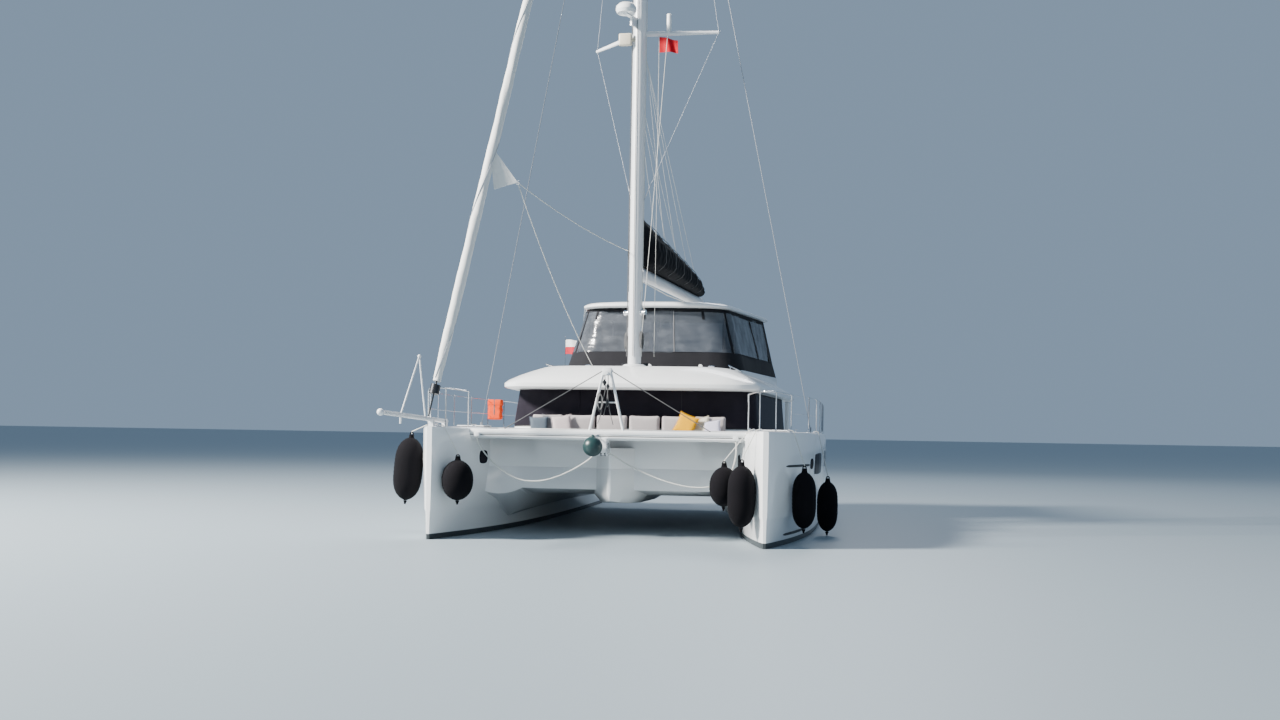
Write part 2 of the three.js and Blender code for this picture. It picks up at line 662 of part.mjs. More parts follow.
// The front window runs round both corners
function cabinWalls() {
  const { plan, wall, top, windowLow, windowHigh, windows } = CABIN;
  const reach = plan.backHalf + SPARE;
  const openings = windows.map(([front, back]) => block([-reach, front, windowLow], [reach, back, windowHigh]));
  const half = BULKHEAD.half + BULKHEAD.sideGap;
  const aftOpening = block([-half, plan.back - 2 * wall, 0], [half, LENGTH, top + SPARE]);
  return cut(cabinShell(0, wall), ...openings, aftOpening);
}

// One band of dark glass just inside the walls
function cabinGlass() {
  const { thickness, overlap, back } = CABIN_GLASS;
  const inset = CABIN.wall + FACE_GAP;
  const band = block([-HULL_X, 0, CABIN.windowLow - overlap], [HULL_X, back, CABIN.windowHigh + overlap]);
  return common(cabinShell(inset, inset + thickness), band);
}

// The hollow under the roof, narrower at its top
function roofHollow([front, back]) {
  const [low, high] = [ROOF_RINGS[0][0] - SPARE, ROOF.top - ROOF.skin];
  const { hollowLowHalf: wide, hollowHighHalf: narrow } = ROOF;
  const section = [[-wide, low], [wide, low], [narrow, high], [-narrow, high]];
  return loft([front, back].map((aft) => section.map(([x, z]) => new THREE.Vector3(x, y(aft), z))));
}

// The roof's rim hangs a little below the top of the cabin walls
function coachroof() {
  const rings = ROOF_RINGS.map(([z, inset]) => levelRing(drawnIn(ROOF.plan, inset, inset * ROOF.roundShare), z));
  const cabinTop = cabinRing(CABIN.top, -FACE_GAP);
  const lifted = cabinTop.map((p) => p.clone().setZ(p.z + FACE_GAP));
  const overCabin = loft([cabinRing(DECK_Z + FACE_GAP, -FACE_GAP), cabinTop, lifted]);
  const [[, overDoorFront], [overDoorBack]] = ROOF_HOLLOWS;
  const overDoor = block(
    [-ROOF.hollowLowHalf, overDoorFront - SPARE, ROOF_RINGS[0][0] - SPARE],
    [ROOF.hollowLowHalf, overDoorBack + SPARE, CABIN.top + FACE_GAP],
  );
  const coamingRing = (z, inset = 0) => levelRing(drawnIn(COAMING.plan, inset), z);
  const coaming = loft([coamingRing(COAMING.low), coamingRing(COAMING.top)]);
  const sole = loft([coamingRing(ROOF.top, COAMING.wall), coamingRing(COAMING.top + SPARE, COAMING.wall)]);
  const { x, aft, radius, top } = ROOF_POST;
  const posts = SIDES.map(([, side]) => (
    bar(point([side * x, aft, DECK_Z + FACE_GAP]), point([side * x, aft, top]), radius, 12)
  ));
  const roof = cut(join(loft(rings), coaming), sole, overCabin, overDoor, ...ROOF_HOLLOWS.map(roofHollow));
  return join(roof, ...posts);
}

function aftBulkhead() {
  const { half, thickness, doorLeft, doorRight, doorLow, doorHigh, sill, windowHigh, mullion, edge } = BULKHEAD;
  const { railEnd, railDepth, railHeight } = DOOR;
  const { back } = CABIN.plan;
  const front = back - thickness;
  const panel = block([-half, front, SOLE_Z + FACE_GAP], [half, back, CABIN.top - FACE_GAP]);
  const skirt = block([-BRIDGE.reach, front, SOLE_Z + FACE_GAP], [BRIDGE.reach, back, DECK_Z]);
  const rail = block(
    [doorLeft - DOOR.travel - railEnd, front, DOOR.high + FACE_GAP],
    [doorRight + railEnd, back + railDepth, DOOR.high + railHeight],
  );
  const opening = (x0, x1, low, high) => block([x0, front - SPARE, low], [x1, back + SPARE, high]);
  return besideHulls(cut(
    join(panel, skirt, rail),
    opening(doorLeft, doorRight, doorLow, doorHigh),
    opening(-half + edge, doorLeft - mullion, sill, windowHigh),
    opening(doorRight + mullion, half - edge, sill, windowHigh),
  ));
}

function saloonDoor() {
  const { overlap, thickness, gap, low, high, stile, pane, rebate } = DOOR;
  const [x0, x1] = [BULKHEAD.doorLeft - overlap, BULKHEAD.doorRight + overlap];
  const front = CABIN.plan.back + gap;
  const [paneFront, edge] = [front + (thickness - pane) / 2, stile - rebate];
  const leaf = block([x0, front, low], [x1, front + thickness, high]);
  const light = block([x0 + stile, front - SPARE, low + stile], [x1 - stile, front + SPARE, high - stile]);
  const glass = block([x0 + edge, paneFront, low + edge], [x1 - edge, paneFront + pane, high - edge]);
  return join(cut(leaf, light), glass);
}

add('cabin_walls', cabinWalls(), GELCOAT);
add('cabin_glass', cabinGlass(), TINTED);
add('coachroof', coachroof(), GELCOAT);
add('aft_bulkhead', aftBulkhead(), GELCOAT);
add('saloon_door', saloonDoor(), TINTED);

// Saloon and cockpit furniture

function saloonSofa() {
  const { left, right, front, back, seatZ, backZ, backWidth } = SALOON_SOFA;
  const low = SOLE_Z + FACE_GAP;
  const seat = block([left, front, low], [right, back, seatZ]);
  return join(
    seat,
    block([right - backWidth, front, low], [right, back, backZ]),
    block([left, front, low], [right, front + backWidth, backZ]),
  );
}

function cockpitSeat() {
  const { half, front, back, top, backTop, backDepth } = COCKPIT_SEAT;
  const low = SOLE_Z + FACE_GAP;
  return join(
    block([-half, front, low], [half, back, top]),
    block([-half, back - backDepth, low], [half, back, backTop]),
  );
}

function cockpitTable() {
  const { x, half, front, back, z, top, leg } = COCKPIT_TABLE;
  const middle = (front + back) / 2;
  return join(
    block([x - half, front, z - top], [x + half, back, z]),
    bar(point([x, middle, SOLE_Z + FACE_GAP]), point([x, middle, z - 5]), leg, 10),
  );
}

add('saloon_sofa', saloonSofa(), PALE_FABRIC);
add('galley_counter', block(
  [GALLEY.left, GALLEY.front, SOLE_Z + FACE_GAP],
  [GALLEY.right, GALLEY.back, GALLEY.top],
), TEAK);
add('cockpit_seat', cockpitSeat(), DECK_WHITE);
add('cockpit_table', cockpitTable(), TEAK);

// Foredeck cushions

const CUSHION = { seatHeight: 125, backDepth: 170, backTop: 2375, half: 2030, sideGap: 12, frontGap: 4, backGap: 6 };
const seatTop = FOREDECK.seatZ + FACE_GAP + CUSHION.seatHeight;
const cushionBack = FOREDECK.seatBack - CUSHION.backGap;
const seatHalf = FOREDECK.wellHalf - CUSHION.sideGap;

add('foredeck_seat_cushion', block(
  [-seatHalf, FOREDECK.wellBack + CUSHION.frontGap, FOREDECK.seatZ + FACE_GAP],
  [seatHalf, cushionBack, seatTop],
), GREY_FABRIC);
add('foredeck_back_cushion', block(
  [-CUSHION.half, cushionBack - CUSHION.backDepth, seatTop + FACE_GAP],
  [CUSHION.half, cushionBack, CUSHION.backTop],
), PALE_FABRIC);

const PILLOWS = [
  // name, x, distance aft, half-size, half-thickness, lean, turn and tilt in degrees, finish
  ['pillow_blue', -1830, 3540, 215, 62, 18, 8, 0, BLUE_FABRIC],
  ['pillow_pale', -1350, 3545, 215, 62, 20, 8, 8, PALE_FABRIC],
  ['pillow_amber', 1235, 3535, 225, 66, 20, -4, -20, AMBER_FABRIC],
  ['pillow_white', 1765, 3545, 205, 62, 20, -10, 6, SAIL_WHITE],
];
const PILLOW_EDGE = 0.35;

function pillow([, x, aft, half, thick, lean, turn, tilt]) {
  const spread = [[PILLOW_EDGE, -1], [1, 0], [PILLOW_EDGE, 1]];
  const rings = spread.map(([share, level]) => [[-1, -1], [1, -1], [1, 1], [-1, 1]].map(([a, b]) => (
    new THREE.Vector3(a * half * share, level * thick, b * half * share)
  )));
  const radians = THREE.MathUtils.degToRad;
  const geometry = loft(rings).rotateY(-radians(tilt)).rotateX(-radians(lean)).rotateZ(radians(turn));
  geometry.computeBoundingBox();
  return geometry.translate(x, y(aft), seatTop + FACE_GAP - geometry.boundingBox.min.z);
}

PILLOWS.forEach((row) => add(row[0], pillow(row), row.at(-1)));

// Flybridge

function enclosureRing(z, inset) {
  const { low, high, highPlan } = ENCLOSURE;
  const share = (z - low) / (high - low);
  return levelRing(drawnIn(mixedPlan(drawnIn(COAMING.plan, ENCLOSURE.inset), highPlan, share), inset), z);
}

const enclosureShell = (outer, inner) => shell(enclosureRing, ENCLOSURE.low, ENCLOSURE.high, outer, inner);

function enclosure() {
  const { low, high, skin, windowLow, windowHigh, frontWindow, windows, entrance, entranceFront, lintel } = ENCLOSURE;
  const entry = block([-entrance, entranceFront, low - SPARE], [entrance, LENGTH, high - lintel]);
  const front = block([-frontWindow, 0, windowLow], [frontWindow, entranceFront, windowHigh]);
  const sides = windows.map(([from, to]) => block([-BRIDGE.reach, from, windowLow], [BRIDGE.reach, to, windowHigh]));
  return cut(enclosureShell(0, skin), entry, front, ...sides);
}

function enclosureClear() {
  const { windowLow, windowHigh, skin, clear, clearBack } = ENCLOSURE;
  const band = block([-BRIDGE.reach, 0, windowLow - SPARE], [BRIDGE.reach, clearBack, windowHigh + SPARE]);
  return common(enclosureShell(skin + FACE_GAP, skin + clear), band);
}

function hardtop() {
  const slab = loft(HARDTOP_RINGS.map(([z, inset]) => levelRing(drawnIn(HARDTOP.plan, inset, 0), z)));
  const { x, front, back, radius, railRadius, railZ, top } = HARDTOP_POST;
  const bars = SIDES.flatMap(([, side]) => [
    ...[front, back].map((aft) => (
      bar(point([side * x, aft, ROOF.top + FACE_GAP]), point([side * x, aft, top]), radius)
    )),
    bar(point([side * x, front, railZ]), point([side * x, back, railZ]), railRadius),
  ]);
  return join(slab, ...bars);
}

function helmConsole() {
  const { x, half, front, back, top, wheelAft, wheelZ, slopeFront, slopeSide, panelBack, panelTop, panelLow } = HELM;
  const low = ROOF.top + FACE_GAP;
  const profile = [
    [front, low], [back, low], [back, top - panelLow], [back - panelBack, top - panelTop],
    [front + slopeFront, top], [front, top - slopeSide],
  ];
  const body = loft([x - half, x + half].map((side) => profile.map(([aft, z]) => point([side, aft, z]))));
  const shaftEnd = wheelAft - WHEEL.hubLength / 2 - FACE_GAP;
  return join(body, bar(point([x, back - HELM.shaftStart, wheelZ]), point([x, shaftEnd, wheelZ]), WHEEL.shaft, 10));
}

function steeringWheel() {
  const { radius, rim, hub, hubLength, spokes, spoke } = WHEEL;
  const ring = new THREE.TorusGeometry(radius, rim, 6, 28);
  const centre = new THREE.CylinderGeometry(hub, hub, hubLength, 14).rotateX(Math.PI / 2);
  const arms = Array.from({ length: spokes }, (_, i) => {
    const angle = Math.PI / 2 + (2 * Math.PI * i) / spokes;
    const tip = new THREE.Vector3(radius * Math.cos(angle), radius * Math.sin(angle), 0);
    return bar(new THREE.Vector3(), tip, spoke, 6);
  });
  return join(centre, ring, ...arms).rotateX(Math.PI / 2).translate(HELM.x, y(HELM.wheelAft), HELM.wheelZ);
}

function helmSeat() {
  const { half, front, back, seatZ, seatDepth, backZ, backDepth, baseShare, baseInset } = HELM_SEAT;
  const [low, under, baseHalf] = [ROOF.top + FACE_GAP, seatZ - seatDepth, half * baseShare];
  return join(
    block([HELM.x - baseHalf, front + baseInset, low], [HELM.x + baseHalf, back - baseInset, seatZ - seatDepth / 2]),
    block([HELM.x - half, front, under], [HELM.x + half, back, seatZ]),
    block([HELM.x - half, back - backDepth, under], [HELM.x + half, back, backZ]),
  );
}

add('enclosure', enclosure(), BLACK_FABRIC);
add('enclosure_clear', enclosureClear(), CLEAR_VINYL);
add('hardtop', hardtop(), GELCOAT);
add('helm_console', helmConsole(), GELCOAT);
add('steering_wheel', steeringWheel(), STEEL);
add('helm_seat', helmSeat(), PALE_FABRIC);
add('sunbed', block(
  [SUNBED.left, SUNBED.front, ROOF.top + FACE_GAP],
  [SUNBED.right, SUNBED.back, SUNBED.top],
), PALE_FABRIC);

// Mast, boom and stays

function ovalRing(x, aft, z, halfWidth, halfDepth, sides) {
  return Array.from({ length: sides }, (_, i) => {
    const angle = (2 * Math.PI * i) / sides;
    return new THREE.Vector3(x + halfWidth * Math.cos(angle), y(aft) + halfDepth * Math.sin(angle), z);
  });
}

// The end of a spreader, swept back from a mast that stands turned
function spreaderTip(side) {
  const angle = THREE.MathUtils.degToRad(SPREADER.sweepDegrees - side * MAST_TURN);
  const [across, back] = [SPREADER.length * Math.cos(angle), SPREADER.length * Math.sin(angle)];
  return point([side * across, MAST.aft + back, SPREADER.z + SPREADER.rise]);
}

function mast() {
  const { aft, halfWidth, halfDepth, top, sides } = MAST;
  const pole = loft([
    ovalRing(0, aft, ROOF.top + FACE_GAP, halfWidth, halfDepth, sides),
    ovalRing(0, aft, top - 1800, halfWidth, halfDepth, sides),
    ovalRing(0, aft, top, halfWidth * 0.8, halfDepth * 0.8, sides),
  ]);
  const arms = SIDES.map(([, side]) => bar(
    point([0, aft, SPREADER.z]),
    spreaderTip(side),
    SPREADER.root, 8, SPREADER.tip,
  ));
  const crane = block([-45, aft - 330, top - 60], [45, aft + 330, top + 40]);
  const lugs = [-1, 1].map((up) => block(
    [-45, aft + halfDepth - 30, GOOSENECK.z + up * GOOSENECK.fork - 14],
    [45, GOOSENECK.aft + 45, GOOSENECK.z + up * GOOSENECK.fork + 14],
  ));
  const pin = bar(
    point([0, GOOSENECK.aft, GOOSENECK.z - GOOSENECK.fork]),
    point([0, GOOSENECK.aft, GOOSENECK.z + GOOSENECK.fork]),
    GOOSENECK.pin / 2, 10,
  );
  return join(pole, ...arms, crane, ...lugs, pin);
}

const mastCutter = loft([
  ovalRing(0, MAST.aft, 0, MAST.halfWidth + FACE_GAP, MAST.halfDepth + FACE_GAP, MAST.sides),
  ovalRing(0, MAST.aft, MAST.top, MAST.halfWidth + FACE_GAP, MAST.halfDepth + FACE_GAP, MAST.sides),
]);
const besideMast = (geometry) => cut(geometry, mastCutter);

function radarDome() {
  const { z, reach, radius, height, shelfHalf, shelf, kneeHalf, kneeReach, kneeLow } = RADAR;
  const dome = turned([
    [0, 0], [radius * 0.86, 0], [radius, height * 0.3], [radius * 0.97, height * 0.62], [radius * 0.7, height * 0.93],
    [0, height],
  ], 16).translate(0, y(MAST.aft - reach), z);
  const plate = block([-shelfHalf, MAST.aft - reach - shelfHalf, z - shelf], [shelfHalf, MAST.aft, z + 1]);
  const knee = block([-kneeHalf, MAST.aft - kneeReach, z - kneeLow], [kneeHalf, MAST.aft, z - shelf / 2]);
  const bracket = join(dome, plate, knee).translate(0, -y(MAST.aft), 0);
  return besideMast(bracket.rotateZ(THREE.MathUtils.degToRad(-MAST_TURN)).translate(0, y(MAST.aft), 0));
}

// The boom and its bag are built about the gooseneck pin and then swung out a little
const boomGroup = new THREE.Group();
boomGroup.position.set(0, y(GOOSENECK.aft), GOOSENECK.z);
boomGroup.rotation.z = THREE.MathUtils.degToRad(-BOOM.swingDegrees);
boat.add(boomGroup);

function boomSpar() {
  const { length, halfWidth, halfDepth, start, sides } = BOOM;
  const ends = [start, length].map((along) => Array.from({ length: sides }, (_, i) => {
    const angle = (2 * Math.PI * i) / sides;
    return new THREE.Vector3(halfWidth * Math.cos(angle), along, halfDepth * Math.sin(angle));
  }));
  const { pin, fork } = GOOSENECK;
  const tongueHalf = fork - 14 - 6;
  const tongue = new THREE.BoxGeometry(70, start + 60, 2 * tongueHalf).translate(0, (start + 60) / 2 - 28, 0);
  const eye = new THREE.CylinderGeometry(38, 38, 2 * tongueHalf, 14).rotateX(Math.PI / 2);
  const bore = (pin / 2 + FACE_GAP) / Math.cos(Math.PI / 14);
  const hole = new THREE.CylinderGeometry(bore, bore, 3 * fork, 14).rotateX(Math.PI / 2);
  return cut(join(loft(ends), tongue, eye), hole);
}

function sailBag() {
  const lift = BOOM.halfDepth + FACE_GAP;
  return loft(SAILBAG.map(([along, half, top]) => [
    [half * 0.55, lift], [half, lift + 0.32 * top], [half * 0.62, lift + 0.7 * (top - lift)], [0, top],
    [-half * 0.62, lift + 0.7 * (top - lift)], [-half, lift + 0.32 * top], [-half * 0.55, lift],
  ].map(([across, z]) => new THREE.Vector3(across, along, z))));
}

function shroud(side) {
  const foot = point([side * SHROUD.deckX, SHROUD.deckAft, DECK_Z + FACE_GAP]);
  const head = point([side * (MAST.halfWidth - SHROUD.seat), MAST.aft, SHROUD.headZ]);
  const plate = block(
    [side * SHROUD.deckX - SHROUD.plate, SHROUD.deckAft - 50, DECK_Z + FACE_GAP],
    [side * SHROUD.deckX + SHROUD.plate, SHROUD.deckAft + 50, DECK_Z + 130],
  );
  foot.z += 60;
  return besideMast(join(bar(foot, head, SHROUD.radius, 6), plate));
}

add('mast', mast(), ALLOY);
add('radar_dome', radarDome(), GELCOAT);
add('boom', boomSpar(), ALLOY, boomGroup);
add('sail_bag', sailBag(), BLACK_FABRIC, boomGroup);
for (const [name, side] of SIDES) {
  add(`shroud_${name}`, shroud(side), STEEL);
}

// Sprit, furler and furled headsail

function sprit() {
  const { butt, tip, radius, knob } = SPRIT;
  const spar = bar(point(butt), point(tip), radius, 10);
  const end = new THREE.SphereGeometry(knob, 10, 8).translate(tip[0], y(tip[1]), tip[2]);
  const along = (aft) => (aft - butt[1]) / (tip[1] - butt[1]);
  const heightAt = (aft) => butt[2] + along(aft) * (tip[2] - butt[2]);
  const xAt = (aft) => butt[0] + along(aft) * (tip[0] - butt[0]);
  const chocks = [130, 820].map((aft) => block(
    [xAt(aft) - 45, aft - 50, DECK_Z + FACE_GAP],
    [xAt(aft) + 45, aft + 50, heightAt(aft)],
  ));
  const { apex, feet, leg, head: headRadius } = SPRIT_STRUT;
  const legs = feet.map((aft) => bar(point([xAt(aft), aft, heightAt(aft)]), point(apex), leg));
  const head = new THREE.SphereGeometry(headRadius, 8, 6).translate(apex[0], y(apex[1]), apex[2]);
  const [fore] = feet;
  const hanger = bar(point([xAt(fore), fore, heightAt(fore)]), point([xAt(fore), fore, heightAt(fore) - 150]), 22);
  const [tackX, tackAft, tackZ] = STAY.foot;
  const tack = block(
    [tackX - SPRIT.tack, tackAft - SPRIT.tack, heightAt(tackAft)],
    [tackX + SPRIT.tack, tackAft + SPRIT.tack, tackZ - FURLER.foil * SPRIT.tackSlope - FACE_GAP],
  );
  return join(spar, end, ...chocks, ...legs, head, hanger, tack);
}

const stayFoot = point(STAY.foot);
const stayHead = point(STAY.head);
const stayWay = new THREE.Vector3().subVectors(stayHead, stayFoot).normalize();
const stayAt = (distance) => stayFoot.clone().addScaledVector(stayWay, distance);

function furler() {
  const { foil, drumStart, drumLength, drumRadius } = FURLER;
  const lower = bar(stayAt(0), stayAt(HEADSAIL.start - FACE_GAP), foil);
  const drum = bar(stayAt(drumStart), stayAt(drumStart + drumLength), drumRadius, 14);
  return join(lower, drum);
}

function headsail() {
  const { start, end, lowRadius, fullRadius, topRadius } = HEADSAIL;
  const profile = [
    [0, start], [lowRadius, start], [fullRadius, start + 1800], [fullRadius, start + 7500],
    [topRadius, end], [14, end + 120], [0, end + 120],
  ];
  const roll = new THREE.LatheGeometry(profile.map(([r, d]) => new THREE.Vector2(r, d)), 12);
  roll.applyQuaternion(new THREE.Quaternion().setFromUnitVectors(new THREE.Vector3(0, 1, 0), stayWay));
  roll.translate(stayFoot.x, stayFoot.y, stayFoot.z);
  const head = bar(stayAt(end), stayHead, 10, 6);
  const luff = stayAt((CLEW.z - stayFoot.z) / stayWay.z);
  const thick = 14;
  const corner = [[0, CLEW.height / 2], [CLEW.width, -CLEW.height / 3], [0, -CLEW.height / 2]];
  const flap = loft([-thick, thick].map((offset) => corner.map(([across, up]) => new THREE.Vector3(
    luff.x + across - up * 0.12, luff.y + offset + across * 0.25, luff.z + up,
  ))));
  return besideMast(join(roll, head, flap));
}

add('sprit', sprit(), ALLOY);
add('furler', furler(), ALLOY);
add('headsail', headsail(), SAIL_WHITE);

// Guard rails

const railPost = (i) => RAIL.first + (i / (RAIL.posts - 1)) * (RAIL.last - RAIL.first);

function guardRail(side) {
  const top = DECK_Z + RAIL.height;
  const foot = (aft) => point([side * (HULL_X + hullAt(aft).deck - RAIL.inset), aft, DECK_Z + FACE_GAP]);
  const afts = Array.from({ length: RAIL.posts }, (_, i) => railPost(i));
  const posts = afts.map((aft) => bar(foot(aft), foot(aft).setZ(top), RAIL.radius, 6));
  const wireAt = (aft) => foot(aft).setZ(top - RAIL.radius);
  const wires = afts.slice(1).map((aft, i) => bar(wireAt(afts[i]), wireAt(aft), RAIL.wire, 5));
  const inner = point([side * (HULL_X - hullAt(PULPIT.back).deck + RAIL.inset), PULPIT.back, DECK_Z + FACE_GAP]);
  const bow = [
    wireAt(PULPIT.back),
    point([side * HULL_X + PULPIT.half, PULPIT.shoulder, top + PULPIT.rise]),
    point([side * HULL_X, PULPIT.front, top + PULPIT.rise]),
    point([side * HULL_X - PULPIT.half, PULPIT.shoulder, top + PULPIT.rise]),
    inner.clone().setZ(top - RAIL.radius),
  ];
  if (side === STARBOARD) bow.splice(1, 3, bow[3], bow[2], bow[1]);
  const hoop = tube(bow, PULPIT.tube, PULPIT.steps, 6);
  const legs = [
    bar(inner, inner.clone().setZ(top), RAIL.radius, 6),
    ...[-1, 1].map((board) => bar(
      point([side * HULL_X + board * PULPIT.legX, PULPIT.legAft, DECK_Z + FACE_GAP]),
      point([side * HULL_X + board * PULPIT.legX, PULPIT.legAft, top + PULPIT.rise]),
      RAIL.radius, 6,
    )),
  ];
  return join(hoop, ...legs, ...posts, ...wires);
}

for (const [name, side] of SIDES) {
  add(`guard_rail_${name}`, guardRail(side), STEEL);
}

// Fenders, ball and bridle

function fender([, side, board, aft, radius, length, z, off]) {
  const { deck } = hullAt(aft);
  const out = side * (HULL_X + board * (deck + radius + off));
  const half = length / 2;
  const body = turned([
    [0, -half], [radius * 0.42, -half + radius * 0.1], [radius * 0.82, -half + radius * 0.42],
    [radius, -half + radius],
    [radius, half - radius], [radius * 0.82, half - radius * 0.42], [radius * 0.42, half - radius * 0.1],
    [radius * 0.2, half], [0, half],
  ], 14).translate(out, y(aft), z);
  const cleatX = side * (HULL_X + board * (deck - FENDER_LINE.cleatInset));
  const cleat = block([cleatX - 25, aft - 60, DECK_Z + FACE_GAP], [cleatX + 25, aft + 60, DECK_Z + 32]);
  const bend = point([side * (HULL_X + board * (deck + FENDER_LINE.edge)), aft, DECK_Z + FENDER_LINE.edge]);
  const over = bar(point([cleatX, aft, DECK_Z + 22]), bend, FENDER_LINE.radius, 6);
  const drop = bar(bend, point([out, aft, z + half - 10]), FENDER_LINE.radius, 6);
  return join(body, cleat, over, drop);
}

FENDERS.forEach((row) => add(row[0], fender(row), BLACK_FABRIC));

function hangingBall() {
  const { x, aft, z, radius } = BALL;
  const ball = new THREE.SphereGeometry(radius, 16, 10).translate(x, y(aft), z);
  const arm = bar(point([x, CROSSBEAM.front - FACE_GAP, BALL.armZ]), point([x, aft, BALL.armZ]), 12, 6);
  const line = bar(point([x, aft, BALL.armZ + 6]), point([x, aft, z + radius - 10]), 8, 6);
  return join(ball, arm, line);
}

add('hanging_ball', hangingBall(), RUBBER);
for (const [name, route] of Object.entries(BRIDLE_ROUTES)) {
  add(name, tube(route.map(point), BRIDLE_RADIUS, 64, 8), ROPE);
}

// Below the water

function rudder(side) {
  const { aft, stock, top, bottom, chord, lead, half, bossZ } = RUDDER;
  const foil = (scale, z) => [
    [-lead, 0], [-lead + 70, half], [120, half * 0.9],
    [chord - lead, 0], [120, -half * 0.9], [-lead + 70, -half],
  ].map(([along, across]) => new THREE.Vector3(side * HULL_X + across * scale, y(aft + along * scale), z));
  const blade = loft([foil(1, top), foil(0.82, bottom)]);
  const [low, high] = [top - SPARE, bossZ - FACE_GAP].map((z) => point([side * HULL_X, aft, z]));
  const post = bar(low, high, stock, 12);
  return join(blade, post);
}

function saildrive(side) {
  const { aft, chord, half, bottom, gearRadius, gearLength, padZ } = SAILDRIVE;
  const foil = (z) => [
    [-chord / 2, 0], [-chord / 4, half], [chord / 5, half * 0.8],
    [chord / 2, 0], [chord / 5, -half * 0.8], [-chord / 4, -half],
  ].map(([along, across]) => new THREE.Vector3(side * HULL_X + across, y(aft + along), z));
  const leg = loft([foil(padZ - FACE_GAP), foil(bottom)]);
  const gear = new THREE.LatheGeometry([
    [0, -gearLength / 2], [gearRadius * 0.6, -gearLength / 2 + 40], [gearRadius, -gearLength / 6],
    [gearRadius, gearLength / 5], [PROPELLER.hub, gearLength / 2], [0, gearLength / 2],
  ].map(([r, h]) => new THREE.Vector2(r, h)), 14).translate(side * HULL_X, y(aft), bottom);
  return join(leg, gear);
}

function propeller(side) {
  const { hub, hubLength, radius, blades, bladeHalf, thickness, pitchDegrees } = PROPELLER;
  const front = SAILDRIVE.aft + SAILDRIVE.gearLength / 2 + FACE_GAP;
  const body = new THREE.LatheGeometry([
    [0, 0], [hub, 0], [hub * 0.95, hubLength * 0.6], [hub * 0.4, hubLength], [0, hubLength],
  ].map(([r, h]) => new THREE.Vector2(r, h)), 14);
  const outline = [[0.3, -0.5], [0.62, -1], [0.9, -0.75], [1, 0], [0.9, 0.75], [0.62, 1], [0.3, 0.5]];
  const arms = Array.from({ length: blades }, (_, i) => {
    const blade = loft([-thickness / 2, thickness / 2].map((offset) => outline.map(([out, across]) => (
      new THREE.Vector3(across * bladeHalf, offset, out * radius)
    ))));
    blade.rotateZ(THREE.MathUtils.degToRad(pitchDegrees * side));
    return blade.rotateY((2 * Math.PI * i) / blades).translate(0, hubLength * 0.42, 0);
  });
  const root = Array.from({ length: blades }, (_, i) => {
    const stem = new THREE.CylinderGeometry(16, 26, radius * 0.4, 8).rotateX(Math.PI / 2);
    return stem.translate(0, 0, radius * 0.28).rotateY((2 * Math.PI * i) / blades).translate(0, hubLength * 0.42, 0);
  });
  return join(body, ...arms, ...root).translate(side * HULL_X, y(front), SAILDRIVE.bottom);
}

for (const [name, side] of SIDES) {
  add(`rudder_${name}`, rudder(side), ANTIFOUL);
  add(`saildrive_${name}`, saildrive(side), ALLOY);
  add(`propeller_${name}`, propeller(side), BRONZE);
}

// Hatches, bag and flag

function hatch(side) {
  const { front, length, half, thickness, hinge } = HATCH;
  const low = DECK_Z + FACE_GAP;
  const lid = block([side * HULL_X - half, front, low], [side * HULL_X + half, front + length, low + thickness]);
  const knuckle = bar(
    point([side * HULL_X - half * 0.8, front, low + hinge]),
    point([side * HULL_X + half * 0.8, front, low + hinge]), hinge, 8,
  );
  return join(lid, knuckle);
}

for (const [name, side] of SIDES) {
  add(`hatch_${name}`, hatch(side), TINTED);
}

// A bag that hangs inside the guard rail, against one of its posts
function railBag() {
  const { post, half, depth, low, high } = RAIL_BAG;
  const aft = railPost(post);
  const outer = HULL_X + hullAt(aft).deck - RAIL.inset - RAIL.radius * Math.cos(Math.PI / 6) - FACE_GAP;
  return block([-outer, aft - depth / 2, low], [-outer + 2 * half, aft + depth / 2, high]);
}

add('rail_bag', railBag(), ORANGE_FABRIC);

function flag() {
  const { x, aft, staffTop, staff, width, low, high, thickness } = FLAG;
  const pole = bar(point([x, aft, DECK_Z + FACE_GAP]), point([x, aft, staffTop]), staff, 8);
  const cloth = block([x - 5, aft - thickness / 2, low], [x - width, aft + thickness / 2, high]);
  return join(pole, cloth);
}

add('flag', flag(), FLAG_CLOTH);

export default boat;
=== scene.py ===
"""Looks of a sailing catamaran with a flybridge, afloat at anchor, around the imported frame."""

import json
import logging
import math
from contextlib import contextmanager
from dataclasses import astuple, dataclass
from enum import Enum
from typing import Callable, Iterable, Iterator, Sequence, Union

import bpy
import numpy as np
from mathutils import Matrix, Vector
from mathutils.bvhtree import BVHTree


